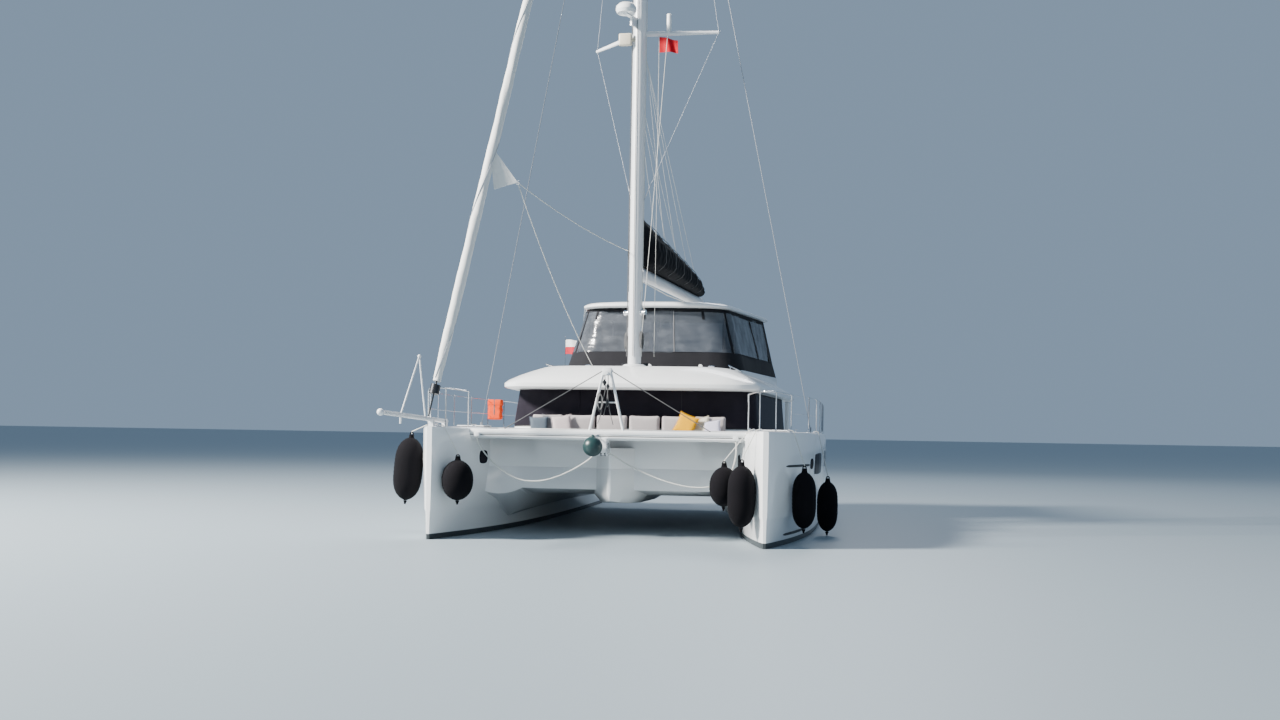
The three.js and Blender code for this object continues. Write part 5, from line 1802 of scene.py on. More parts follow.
class Roof(Builder):
    """The coachroof with its fittings: track, cars, winches, hand rails and mast collar."""

    def build(self) -> None:
        """Builds every piece of the roof."""
        self.skin("coachroof", "gelcoat", 0.010, degrees=28.0)
        self.track()
        self.collar()
        self.rails()
        for i, (x, aft) in enumerate(((-1.35, 6.35), (1.45, 6.35))):
            self.winch(x, aft, i)

    def track(self) -> None:
        """Adds the curved sheet track in front of the flybridge with its cars."""
        path = [at(0.02 + 1.22 * t, 6.42 - 0.05 * math.sin(math.pi * t), 3.436) for t in shares(16)]
        rail = cable("track_rail", path, 0.020, 2)
        foot = cable("track_foot", [p - step_up(0.02) for p in path], 0.012, 1)
        self.bundle("sheet_track", [rail, foot], "alloy")
        cars = []
        for share in (0.02, 0.97):
            x = 0.02 + 1.22 * share
            cars.append(block(at(x - 0.05, 6.34, 3.40), at(x + 0.05, 6.47, 3.50), 0.016))
            cars.append(rod(at(x, 6.36, 3.53), at(x, 6.45, 3.53), 0.042, 18))
        self.group("track_cars", cars, "plastic_white", "gelcoat")

    def collar(self) -> None:
        """Adds the mast's foot ring with its blocks and the lines led aft from it."""
        ring = turned(
            at(0.0, 4.47, 3.4005), UP, ((0.25, 0.0), (0.25, 0.02), (0.22, 0.045), (0.20, 0.05)), 32,
        )
        self.put(smooth(ring), "alloy", name="mast_collar")
        blocks = []
        for i in range(6):
            angle = math.radians(20.0 + 28.0 * i)
            centre = at(0.27 * math.cos(angle), 4.47 + 0.27 * math.sin(angle), 3.45)
            blocks.append(pin(centre, (0.0, 0.0, 0.035), 0.035, 16))
        self.group("mast_blocks", blocks, "dark_alloy", "alloy")
        led = []
        for i in range(4):
            x = 0.16 + 0.07 * i
            path = [at(x, 4.72, 3.43), at(x + 0.16, 5.6, 3.425), at(x + 0.30, 6.3, 3.425)]
            led.append(cable("led", path, 0.007, 1, True))
        self.bundle("led_lines", led, "dark_rope", "rope")

    def rails(self) -> None:
        """Adds a hand rail along each of the roof's shoulders."""
        bars = []
        for side in Side:
            path = [at(side.value * (1.98 + 0.20 * t), 4.75 + 5.6 * t, 3.46) for t in shares(20)]
            bars.append(cable("hand_rail", path, 0.014, 2))
            for p in path[1::6]:
                bars.append(rod(p, p - step_up(0.065), 0.011))
        self.group("roof_hand_rails", bars, "steel")

    def winch(self, x: float, aft: float, number: int) -> None:
        """Adds one winch."""
        drum = turned(at(x, aft, 3.4005), UP, (
            (0.085, 0.0), (0.085, 0.02), (0.066, 0.03), (0.056, 0.07), (0.060, 0.10), (0.074, 0.12),
            (0.074, 0.135),
            (0.055, 0.142), (0.03, 0.15), (0.018, 0.15),
        ), 28)
        self.put(smooth(drum), "steel", name=f"roof_winch_{number}")


class Lounge(Builder):
    """The seat on the foredeck: padded segments and loose pillows."""

    segments = 6
    seat_half = 2.038
    seat_front = 3.264
    seat_back = 3.879
    seat_low = 1.7905
    seat_high = 1.914
    back_low = 1.916
    back_high = 2.372
    back_front = 3.712
    pillows = (
        # name, node, x, distance aft, height of its middle, half-size, lean, turn, tilt, weave, slot
        ("blue_grey", "pillow_blue", -1.83, 3.54, 2.115, 0.205, 20, 8, 3, "blue", "blue"),
        ("rose", "pillow_pale", -1.35, 3.545, 2.125, 0.215, 22, 8, 8, "rose", "pale"),
        ("mustard", "pillow_amber", 1.235, 3.535, 2.16, 0.225, 20, -4, -20, "amber", "amber"),
        ("lilac", "pillow_white", 1.765, 3.545, 2.10, 0.185, 24, -12, 10, "lilac", "pale"),
        ("ash", "", -1.63, 3.655, 2.145, 0.20, 16, 10, -10, "ash", "grey"),
        ("cream", "", 1.52, 3.65, 2.135, 0.20, 18, -14, 14, "cream", "pale"),
    )

    def build(self) -> None:
        """Builds the seat, the backrest and the pillows."""
        self.cushions()
        self.throw_pillows()

    def cushions(self) -> None:
        """Makes one seat pad and one back pad and copies them along the seat."""
        pitch = 2 * self.seat_half / self.segments
        deep, tall = self.seat_back - self.seat_front, self.seat_high - self.seat_low
        seat = pad((pitch - 0.006, deep, tall), 0.03, 0.012, 0.016, 0.010)
        tall, deep = self.back_high - self.back_low, self.seat_back - self.back_front
        rest = pad((pitch - 0.008, tall, deep), 0.035, 0.016, 0.016, 0.012)
        seat_spot = ((self.seat_front + self.seat_back) / 2, self.seat_low - bounds_of(seat)[0].z)
        rest_spot = (
            self.seat_back - 0.002 + bounds_of(rest)[0].z, (self.back_low + self.back_high) / 2,
        )
        for i in range(self.segments):
            x = -self.seat_half + pitch * (i + 0.5)
            first = i == 0
            self.stuffed(
                duplicate(seat), f"seat_pad_{i}", Matrix.Translation(at(x, *seat_spot)), "fabric_grey",
                0.8, ("foredeck_seat_cushion",) if first else (), "fabric_grey",
            )
            self.stuffed(
                duplicate(rest), f"back_pad_{i}",
                Matrix.Translation(at(x, *rest_spot)) @ rotation(90.0, "X"), "fabric_rest", 0.8,
                ("foredeck_back_cushion",) if first else (),
            )
        discard(seat, rest)

    def throw_pillows(self) -> None:
        """Makes one pillow and leans copies of it against the backrest."""
        form = self.pillow_form()
        for name, node, x, aft, z, half, lean, turn, tilt, weave, slot in self.pillows:
            piece = duplicate(form)
            piece.data.transform(
                Matrix.Translation(at(x, aft, z)) @ rotation(turn, "Z") @ rotation(-lean, "X")
                @ rotation(-tilt, "Y") @ Matrix.Scale(half, 4)
            )
            low, _ = bounds_of(piece)
            settle = Matrix.Translation(step_up(self.seat_high + 0.004 - low.z))
            self.stuffed(
                piece, f"pillow_{name}", settle, f"fabric_{weave}", 0.7, (node,) if node else (),
                f"fabric_{slot}",
            )
        discard(form)

    @staticmethod
    def pillow_form() -> bpy.types.Object:
        """A square pillow of half-size 1, standing on edge, with pinched sides, creases and a seam.

        Returns:
            The pillow.
        """
        def spot(a: float, b: float, deep: float = 0.0) -> Vector:
            """A point of the pillow's outline, drawn in between its corners and sagging."""
            x = a * (1.0 - 0.10 * (1.0 - b * b) * abs(a) ** 3)
            z = b * (1.0 - 0.10 * (1.0 - a * a) * abs(b) ** 3)
            return Vector((x, deep, z - 0.02 * (1.0 - b) * (1.0 - a * a)))

        def face(sign: float) -> Callable[[float, float], Point]:
            """The function that places one face of the pillow."""
            def place(u: float, v: float) -> Vector:
                """The face's point for two shares."""
                a, b = 2.0 * u - 1.0, 2.0 * v - 1.0
                full = max(0.0, 1.0 - a ** 4) ** 0.62 * max(0.0, 1.0 - b ** 4) ** 0.62
                crease = 0.022 * math.sin(9.0 * (a + 0.6 * b) + sign) * abs(a * b)
                crease += 0.016 * math.sin(14.0 * (b - 0.3 * a)) * abs(a) ** 3
                return spot(a, b, sign * (0.27 * full + crease * full))
            return place

        halves = [surface("pillow_face", 26, 26, face(sign)) for sign in (-1.0, 1.0)]
        form = close_up(join_all("pillow_form", halves))
        form = inflated(form, 3.0, 0.05)
        edge = []
        for share in shares(80):
            corner, f = int(share * 4.0) % 4, share * 4.0 - int(share * 4.0)
            sides = ((2 * f - 1, -1), (1, 2 * f - 1), (1 - 2 * f, 1), (-1, 1 - 2 * f))
            edge.append(spot(*sides[corner]))
        cord = cable("seam", edge, 0.020, 1)
        return smooth(join_all("pillow_form", [form, cord]), 60.0)


class Flybridge(Builder):
    """The enclosure on the coaming, the hardtop, and the helm and seats inside it."""

    low = 3.4953
    high = 4.9297
    band = 3.885
    top_band = 4.858
    wall = Wall(
        Plan(7.035, 11.56, 2.155, 2.69, 0.725, 0.275, 0.2).drawn_in(0.025),
        Plan(7.48, 11.25, 1.74, 2.33, 0.6, 0.25, 0.23), low, high,
    )

    def build(self) -> None:
        """Builds every piece of the flybridge."""
        self.canvas()
        self.panels()
        self.zips()
        self.welts()
        self.skin("hardtop", "gelcoat", 0.004, degrees=30.0)
        self.helm()
        self.seats()

    def canvas(self) -> None:
        """Makes the black cloth: the band round the foot, the top hem and the posts between the panels."""
        fold = waves((0.004, 2.1, 5.0, 0.3), (0.003, 5.3, -3.0, 1.1), (0.0016, 17.0, 2.0, 0.0))
        left, right, top = back_way(-1.25), back_way(1.25), self.high - 0.001
        patch = self.wall.patch
        strips = [
            patch("foot", left, right, self.low + 0.001, self.band, 0.004, 0.003, (150, 10), fold),
            patch("hem", left, right, self.top_band, top, 0.004, 0.003, (150, 3), fold),
            patch("lintel", back_way(1.26), back_way(-1.26), 4.84, top, 0.004, 0.003, (24, 3)),
        ]
        low, high = self.band - 0.02, self.top_band + 0.02
        for side in Side:
            sign = side.value
            corner = corner_way(sign * 0.80)
            posts = (
                # name, first edge, last edge, faces along
                ("corner", self.shifted(corner, -0.035), self.shifted(corner, 0.035), 10),
                ("side", side_way(9.56, sign), side_way(9.66, sign), 10),
                ("back", side_way(10.82, sign), back_way(sign * 1.25), 24),
            )
            for name, start, end, faces in posts:
                strips.append(patch(name, start, end, low, high, 0.0045, 0.003, (faces, 14), fold))
        for strip in strips:
            smooth(strip, 60.0)
        cloth = join_all("enclosure_canvas", strips)
        self.put(cloth, "canvas_dark", "fabric_black", replaces=("enclosure",))

    @staticmethod
    def shifted(way: Way, shift: float) -> Way:
        """A way moved along the rim."""
        return lambda rim: way(rim) + shift

    def panels(self) -> None:
        """Makes the clear panels, each a little wavy."""
        wavy = waves((0.006, 3.0, 6.0, 0.0), (0.004, 8.0, -5.0, 2.0), (0.002, 19.0, 7.0, 0.7))
        marks = [
            (side_way(10.84, -1), side_way(9.64, -1)), (side_way(9.58, -1), corner_way(-0.82)),
            (corner_way(-0.78), corner_way(-0.245)), (corner_way(-0.243), corner_way(0.213)),
            (corner_way(0.215), corner_way(0.78)), (corner_way(0.82), side_way(9.58)),
            (side_way(9.64), side_way(10.84)),
        ]
        low, high = self.band - 0.015, self.top_band + 0.015
        sheets = []
        for start, end in marks:
            sheet = self.wall.patch("clear", start, end, low, high, 0.010, 0.0015, (34, 22), wavy)
            sheets.append(smooth(sheet, 60.0))
        clear = join_all("enclosure_panels", sheets)
        self.put(clear, "vinyl_clear", replaces=("enclosure_clear",))

    def zips(self) -> None:
        """Adds the pale zips between the front panels and the dark straps at the top."""
        zips = []
        heights = np.linspace(self.band, self.top_band, 12)
        for share in (-0.244, 0.214):
            points = [self.wall.point(corner_way(share), z, 0.002) for z in heights]
            zips.append(cable("zip", points, 0.006, 1))
        self.bundle("panel_zips", zips, "fabric_grey")
        straps = []
        for share in (-0.62, -0.1, 0.52):
            middle = corner_way(share)
            first, last = self.shifted(middle, -0.028), self.shifted(middle, 0.028)
            straps.append(self.wall.patch("strap", first, last, 4.66, 4.90, -0.004, 0.003, (2, 4)))
        self.bundle("roll_up_straps", straps, "canvas_dark", "fabric_black")

    def welts(self) -> None:
        """Adds the sewn welts along the cloth's foot and the panels' lower and upper edges."""
        afts = np.linspace(11.0, 8.0, 10)
        ways = [
            *(side_way(aft, -1) for aft in afts), *(corner_way(-1.0 + i / 20) for i in range(41)),
            *(side_way(aft) for aft in afts[::-1]),
        ]
        welts = [
            cable("welt", [self.wall.point(way, z, -0.001) for way in ways], 0.0055, 1)
            for z in (self.low + 0.02, self.band, self.top_band)
        ]
        self.bundle("canvas_welts", welts, "canvas_dark", "fabric_black")

    def helm(self) -> None:
        """Builds the console's instruments and the wheel."""
        self.skin("helm_console", "gelcoat", 0.02)
        self.skin("steering_wheel", "steel", degrees=40.0)
        screens = [
            block(at(x - 0.15, 8.245, 4.10), at(x + 0.15, 8.275, 4.24), 0.006) for x in (-1.10, -0.62)
        ]
        self.bundle("helm_screens", screens, "glass_dark")

    def seats(self) -> None:
        """Builds the helm seat and the sunbed as pads on their bases."""
        base = block(at(-1.226, 9.11, 3.4005), at(-0.474, 9.48, 3.905), 0.02)
        self.put(smooth(base), "gelcoat", replaces=("helm_seat",), name="helm_seat_base")
        seat = pad((0.93, 0.48, 0.13), 0.035, 0.015, 0.014, 0.012)
        place = Matrix.Translation(at(-0.85, 9.295, 3.975))
        self.stuffed(seat, "helm_seat_pad", place, "fabric_rest", 0.8)
        rest = pad((0.93, 0.48, 0.12), 0.035, 0.012, 0.014, 0.012)
        place = Matrix.Translation(at(-0.85, 9.475, 4.31)) @ rotation(90.0, "X")
        self.stuffed(rest, "helm_seat_back", place, "fabric_rest", 0.8)
        base = block(at(0.10, 7.90, 3.4005), at(1.56, 10.0, 3.715), 0.03)
        self.put(smooth(base), "gelcoat", replaces=("sunbed",), name="sunbed_base")
        mattress = pad((0.71, 1.02, 0.115), 0.03, 0.012, 0.018, 0.012)
        for i in range(4):
            spot = at(0.465 + 0.73 * (i % 2), 8.425 + 1.05 * (i // 2), 3.773)
            piece = duplicate(mattress)
            self.stuffed(piece, f"sunbed_pad_{i}", Matrix.Translation(spot), "fabric_rest", 0.85)
        discard(mattress)


class Rig(Builder):
    """The turned mast with its spreaders, lamps, radar, halyards, wires and the shrouds."""

    foot = (0.0, 4.47)
    turn = -22.0
    half_width = 0.14
    half_depth = 0.17
    spreader_z = 10.47
    tips = {Side.PORT: (1.672, 4.558), Side.STARBOARD: (-1.140, 5.699)}

    def beside(self, x: float, y: float, z: float) -> Vector:
        """A point in the mast's own turned axes: x to its port side, y behind it."""
        angle = math.radians(self.turn)
        return at(
            self.foot[0] + x * math.cos(angle) - y * math.sin(angle),
            self.foot[1] + x * math.sin(angle) + y * math.cos(angle), z,
        )

    def build(self) -> None:
        """Builds every piece of the rig."""
        self.skin("mast", "alloy", degrees=40.0)
        self.skin("radar_dome", "gelcoat", degrees=36.0)
        for side in Side:
            self.skin(f"shroud_{side.word}", "wire", degrees=60.0, slot="steel")
        self.track()
        self.wires()
        self.halyards()
        self.deck_light()
        self.reflector()
        self.foot_gear()

    def track(self) -> None:
        """Adds the sail's track and its stack of slides on the mast's back."""
        parts = []
        for x in (-0.012, 0.012):
            y = self.half_depth + 0.006
            parts.append(rod(self.beside(x, y, 5.75), self.beside(x, y, 21.5), 0.009, 8))
        self.group("mast_track", parts, "dark_alloy", "alloy")
        near, far = self.half_depth + 0.004, self.half_depth + 0.05
        slides = [
            rod(self.beside(0.0, near, z), self.beside(0.0, far, z), 0.022, 10)
            for z in (5.9 + 0.07 * i for i in range(12))
        ]
        self.group("mast_slides", slides, "rubber_black", "rubber_green")

    def wires(self) -> None:
        """Adds the diamond wires over the spreaders' tips, with their screws."""
        wires, screws = [], []
        for side, (x, aft) in self.tips.items():
            tip = at(x, aft, self.spreader_z)
            low = self.beside(side.value * (self.half_width + 0.012), 0.02, 6.92)
            high = self.beside(side.value * (self.half_width + 0.002), 0.02, 19.9)
            wires.append(cable("diamond", [low, tip, high], 0.004))
            way = (tip - low).normalized()
            screws.append(rod(low + way * 0.02, low + way * 0.34, 0.012, 10, 0.010 / 0.012))
            screws.append(rod(low + way * 0.34, low + way * 0.40, 0.018, 10, 0.006 / 0.018))
            profile = ((0.02, 0.0), (0.032, 0.012), (0.032, 0.048), (0.02, 0.06))
            screws.append(turned(tip - step_up(0.03), UP, profile, 14))
        self.bundle("diamond_wires", wires, "wire", "steel")
        self.group("diamond_screws", screws, "steel")

    def halyards(self) -> None:
        """Adds the ropes that run up the mast's sides and front."""
        white, dark = [], []
        rows = (
            # list, x and y low, height low, x and y high, height high
            (dark, -0.155, -0.05, 3.62, -0.150, 0.02, 20.8),
            (dark, -0.10, -0.165, 3.62, -0.06, -0.178, 19.6),
            (white, 0.152, 0.03, 3.62, 0.148, 0.05, 21.3), (white, 0.158, -0.04, 3.62, 0.60, 0.14, 10.42),
            (white, -0.165, 0.06, 3.62, -0.147, 0.08, 21.3), (dark, 0.06, -0.175, 3.62, 0.04, -0.18, 12.2),
        )
        for pieces, x0, y0, z0, x1, y1, z1 in rows:
            ends = [self.beside(x0, y0, z0), self.beside(x1, y1, z1)]
            pieces.append(cable("halyard", ends, 0.006, 1))
        self.bundle("halyards_white", white, "rope")
        self.bundle("halyards_dark", dark, "dark_rope", "rope")

    def deck_light(self) -> None:
        """Adds the deck lamp on the mast's front corner under the spreaders."""
        parts = [
            block(Vector((-0.14, -0.06, -0.13)), Vector((0.14, 0.05, 0.13)), 0.035, 3),
            block(Vector((0.05, 0.0, -0.03)), Vector((0.22, 0.04, 0.03)), 0.008),
        ]
        lamp = join_all("deck_light", parts)
        lamp.data.transform(Matrix.Translation(self.beside(-0.20, -0.25, 10.295)))
        self.put(smooth(lamp), "plastic_cream", "gelcoat")

    def reflector(self) -> None:
        """Adds the white tube on the port spreader and the red pennant under it."""
        x, aft = 0.62, self.foot[1] + 0.03
        tube = turned(at(x, aft, 10.50), UP, (
            (0.03, 0.0), (0.052, 0.012), (0.052, 0.36), (0.03, 0.375),
        ), 20)
        clamp = block(at(x - 0.03, aft - 0.05, 10.44), at(x + 0.03, aft + 0.05, 10.505), 0.006)
        self.group("radar_reflector", [tube, clamp], "plastic_white", "gelcoat")

        def place(u: float, v: float) -> Vector:
            """The pennant's point for two shares."""
            run, rise = 0.40 * u, (1.0 - 0.25 * u) * (v - 0.5) * 0.33
            sway = 0.05 * u * math.sin(9.0 * u + 1.5 * v)
            return at(x - 0.20 + run, aft - 0.02 + sway, 10.22 + rise - 0.06 * u * u)
        pennant = surface("spreader_pennant", 22, 12, place, 0.002)
        self.put(smooth(pennant, 60.0), "pennant_red", "flag_cloth")
        hoist = cable(
            "pennant_line", [at(x - 0.205, aft - 0.02, z) for z in (10.43, 8.0, 6.0, 3.62)], 0.004, 1,
        )
        self.put(hoist, "rope")

    def foot_gear(self) -> None:
        """Adds the mast's winches, cleats and coiled tails above the roof."""
        parts, coils = [], []
        for side in Side:
            base = self.beside(side.value * (self.half_width + 0.001), 0.0, 4.55)
            outward = self.beside(side.value, 0.0, 4.55) - self.beside(0.0, 0.0, 4.55)
            parts.append(turned(base, outward, (
                (0.07, 0.0), (0.07, 0.015), (0.052, 0.03), (0.046, 0.06), (0.058, 0.10), (0.058, 0.115),
                (0.02, 0.125),
            ), 22))
            for z in (4.15, 4.9):
                spot = self.beside(side.value * (self.half_width + 0.02), -0.02, z)
                parts.append(rod(spot - step_up(0.09), spot + step_up(0.09), 0.011, 8))
            for k in range(4):
                x, z = side.value * (0.17 + 0.012 * k), 3.98 - 0.01 * k
                loop = [self.beside(x, 0.05 * math.sin(a) - 0.03, z + 0.17 * math.cos(a)) for a in turns(18)]
                coils.append(cable("turn", loop, 0.008, 1, True))
        self.group("mast_winches", parts, "steel")
        self.bundle("mast_coils", coils, "dark_rope", "rope")


class Boom(Builder):
    """The swinging boom with its long cloth bag, its ties and its hanging lines."""

    body = BOOM_BODY
    gooseneck = (0.0, 4.72, 5.44)
    swing = -5.8
    profile = (
        # distance from the gooseneck, half-width, top
        (0.09, 0.120, 1.260), (0.28, 0.300, 1.245), (0.50, 0.360, 1.210), (1.20, 0.405, 1.110),
        (2.20, 0.420, 1.000),
        (3.30, 0.395, 0.890), (4.40, 0.360, 0.780), (5.40, 0.285, 0.660), (6.25, 0.170, 0.520),
    )
    lift = 0.137
    panels = 7

    def build(self) -> None:
        """Builds every piece on the boom."""
        self.skin("boom", "alloy", degrees=40.0)
        self.bag()
        self.ties()
        self.lines()

    def placed(self, along: float, across: float, up: float) -> Vector:
        """A point in the boom's own axes, from the gooseneck."""
        angle = math.radians(self.swing)
        x, aft, z = self.gooseneck
        return at(
            x + across * math.cos(angle) - along * math.sin(angle),
            aft + across * math.sin(angle) + along * math.cos(angle), z + up,
        )

    def sizes(self, along: float) -> tuple[float, float]:
        """The bag's half-width and top at a distance along the boom."""
        for (a0, h0, t0), (a1, h1, t1) in zip(self.profile, self.profile[1:]):
            if along <= a1:
                share = max(0.0, (along - a0) / (a1 - a0))
                return h0 + (h1 - h0) * share, t0 + (t1 - t0) * share
        return self.profile[-1][1:]

    def bag(self) -> None:
        """Lofts the bag round the flaked sail, with the sags and creases of loose cloth."""
        start, end = self.profile[0][0], self.profile[-1][0]

        def place(u: float, v: float) -> Vector:
            """The bag's point: u round its section from the foot over the top, v along it."""
            along = start + (end - start) * v
            half, top = self.sizes(along)
            turn = 2.0 * u - 1.0
            side, height = math.copysign(1.0, turn), 1.0 - abs(turn)
            shape = (
                (0.0, 0.52), (0.12, 0.92), (0.30, 1.0), (0.52, 0.93), (0.74, 0.62), (0.92, 0.22), (1.0, 0.0),
            )
            for (s0, w0), (s1, w1) in zip(shape, shape[1:]):
                if height <= s1:
                    f = (height - s0) / (s1 - s0)
                    f = f * f * (3.0 - 2.0 * f)
                    width = w0 + (w1 - w0) * f
                    break
            panel = (along - start) / (end - start) * self.panels
            sag = math.sin(math.pi * (panel % 1.0)) * 0.035 * height
            crease = 0.014 * math.sin(21.0 * along + 7.0 * height * side)
            crease += 0.010 * math.sin(43.0 * along - 13.0 * height)
            across = half * width * 0.975 + math.sin(math.pi * min(1.0, height * 1.15)) * crease
            return self.placed(along, side * across, self.lift + (top - self.lift) * height - sag)

        loft = surface("bag_cloth", 44, 150, place, 0.0)
        self.put(smooth(end_capped(loft), 60.0), "fabric_black", replaces=("sail_bag",))

    def ties(self) -> None:
        """Adds the bag's zip along its ridge and the webbing round it."""
        ridge = []
        for along in np.linspace(0.12, 6.2, 90):
            panel = (along - 0.09) / 6.16 * self.panels
            sag = math.sin(math.pi * (panel % 1.0)) * 0.035
            ridge.append(self.placed(along, 0.0, self.sizes(along)[1] - sag + 0.004))
        self.put(cable("bag_zip", ridge, 0.010, 1), "dark_rope", "fabric_black")
        bands = []
        for i in range(1, self.panels):
            along = 0.09 + 6.16 * i / self.panels
            half, top = self.sizes(along)
            points = []
            for turn in np.linspace(-1.0, 1.0, 23):
                height = 1.0 - abs(turn)
                width = 1.0 if height < 0.35 else math.cos(math.pi / 2 * (height - 0.35) / 0.65) ** 0.8
                width *= 0.55 + 0.45 * min(1.0, height / 0.14)
                across = math.copysign(half * width + 0.006, turn)
                points.append(self.placed(along, across, self.lift + (top - self.lift) * height + 0.004))
            bands.append(cable("band", points, 0.008, 1))
        self.bundle("bag_webbing", bands, "dark_rope", "fabric_black")

    def lines(self) -> None:
        """Adds the lazy jacks from the mast to the bag and the reef lines under the boom."""
        upper = {Side.PORT: at(0.155, 4.45, 9.9), Side.STARBOARD: at(-0.150, 4.53, 9.9)}
        for side, head in upper.items():
            lines = []
            for share in (0.22, 0.42, 0.62, 0.80):
                along = 0.09 + 6.16 * share
                half, top = self.sizes(along)
                foot = self.placed(along, side.value * half * 0.55, self.lift + (top - self.lift) * 0.74)
                lines.append(cable("jack", [foot, head], 0.003, 1))
            jacks = join_all(f"lazy_jacks_{side.word}", lines)
            self.put(jacks, "rope", rides=False)
            end = tuple(self.placed(3.0, side.value * 0.25, 0.9))
            tuple(head)
            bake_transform(jacks)
        tail = [
            self.placed(0.2, -0.09, -0.10), self.placed(3.2, -0.11, -0.15), self.placed(6.2, -0.09, -0.10),
        ]
        self.put(cable("reef_lines", tail, 0.008, 1), "rope")


class Headsail(Builder):
    """The bowsprit's struts, the furled sail on its stay, its loose clew and its sheets."""

    foot = (-3.062, -0.03, 2.243)
    head = (-0.060, 4.290, 21.350)
    start = 0.66
    end = 19.10
    radii = ((0.66, 0.074), (1.4, 0.090), (2.46, 0.098), (8.16, 0.098), (13.0, 0.080), (19.10, 0.052))
    clew_offset = Vector((0.54, 0.126, -0.293))

    def build(self) -> None:
        """Builds every piece of the headsail."""
        self.skin("sprit", "alloy", degrees=40.0)
        self.skin("furler", "dark_alloy", degrees=40.0, slot="alloy")
        self.roll()
        self.clew()
        self.sheets()

    def frame_at(self, along: float) -> tuple[Vector, Vector, Vector, Vector]:
        """The stay's point at a distance along it, with the stay's way and two ways across it."""
        foot, head = at(*self.foot), at(*self.head)
        way = (head - foot).normalized()
        across = Vector((0.0, -1.0, 0.0)).cross(way).normalized()
        return foot + way * along, way, across, way.cross(across)

    def radius(self, along: float) -> float:
        """The roll's radius at a distance along the stay."""
        for (a0, r0), (a1, r1) in zip(self.radii, self.radii[1:]):
            if along <= a1:
                return r0 + (r1 - r0) * max(0.0, (along - a0) / (a1 - a0))
        return self.radii[-1][1]

    def roll(self) -> None:
        """Winds the sail round the stay: a roll with slanting edges, bulges and the dark strip's seam."""
        rows, sides = 340, 28

        def place(u: float, v: float) -> Vector:
            """The roll's point: u round it, v along it."""
            along = self.start + (self.end - self.start) * v
            centre, _, across, other = self.frame_at(along)
            angle = 2.0 * math.pi * u
            lead = angle - 1.75 * along
            step = (lead / (2.0 * math.pi)) % 1.0
            radius = self.radius(along) * (0.93 + 0.07 * step)
            radius += 0.0022 * math.sin(5.0 * along + 2.0 * angle)
            radius += 0.0016 * math.sin(17.0 * along - angle)
            fold = 0.006 * max(0.0, math.sin(3.0 * angle + 2.3 * along))
            fold *= max(0.0, 1.0 - abs(along - 6.2) / 4.0)
            return centre + (across * math.cos(angle) + other * math.sin(angle)) * (radius - fold)

        cloth = surface("furled_sail", sides, rows, place, 0.0)
        self.put(smooth(end_capped(close_up(cloth)), 35.0), "sail_cloth", replaces=("headsail",))
        edge = []
        for along in np.linspace(self.start + 0.05, self.end - 0.05, 500):
            centre, _, across, other = self.frame_at(along)
            angle = 1.75 * along
            edge.append(
                centre + (across * math.cos(angle) + other * math.sin(angle)) * (self.radius(along) * 0.985)
            )
        self.put(cable("sail_edge", edge, 0.007, 1), "sail_strip", "sail_cloth")

    @property
    def luff(self) -> Vector:
        """The stay's point at the height of the clew."""
        return at(*self.foot).lerp(at(*self.head), (6.99 - self.foot[2]) / (self.head[2] - self.foot[2]))

    def clew(self) -> None:
        """Adds the corner of the sail that stands off the roll, with its ring."""
        luff = self.luff

        def place(u: float, v: float) -> Vector:
            """The flap's point: u away from the roll, v up it."""
            top, bottom, out, drop = 0.44, -0.44, 0.445, -0.293
            run = u ** 0.9
            up_edge = top + (drop - top) * run
            low_edge = bottom + (drop - bottom) * run
            up = low_edge + (up_edge - low_edge) * v
            cross = out * run + 0.06
            sway = 0.012 * math.sin(7.0 * u + 3.0 * v) * (1.0 - u)
            return luff + Vector((cross - 0.12 * up, 0.25 * cross + sway, up))
        flap = surface("clew_flap", 24, 22, place, 0.012)
        self.put(smooth(flap, 50.0), "sail_cloth")
        self.put(smooth(ring(luff + self.clew_offset, 0.035, 0.009, 24, 10)), "steel", name="clew_ring")

    def sheets(self) -> None:
        """Runs both sheets from the clew to the roof."""
        routes = (
            # name, far end, sag
            ("sheet_low", at(-1.02, 5.2, 3.418), 0.20),
            ("sheet_high", at(-0.142, 4.527, 5.85), 0.10),
        )
        for name, end, drop in routes:
            path = sagging(self.luff + self.clew_offset, end, drop, 24)
            self.hung(cable(name, path, 0.0075, 2), path, 0.015)


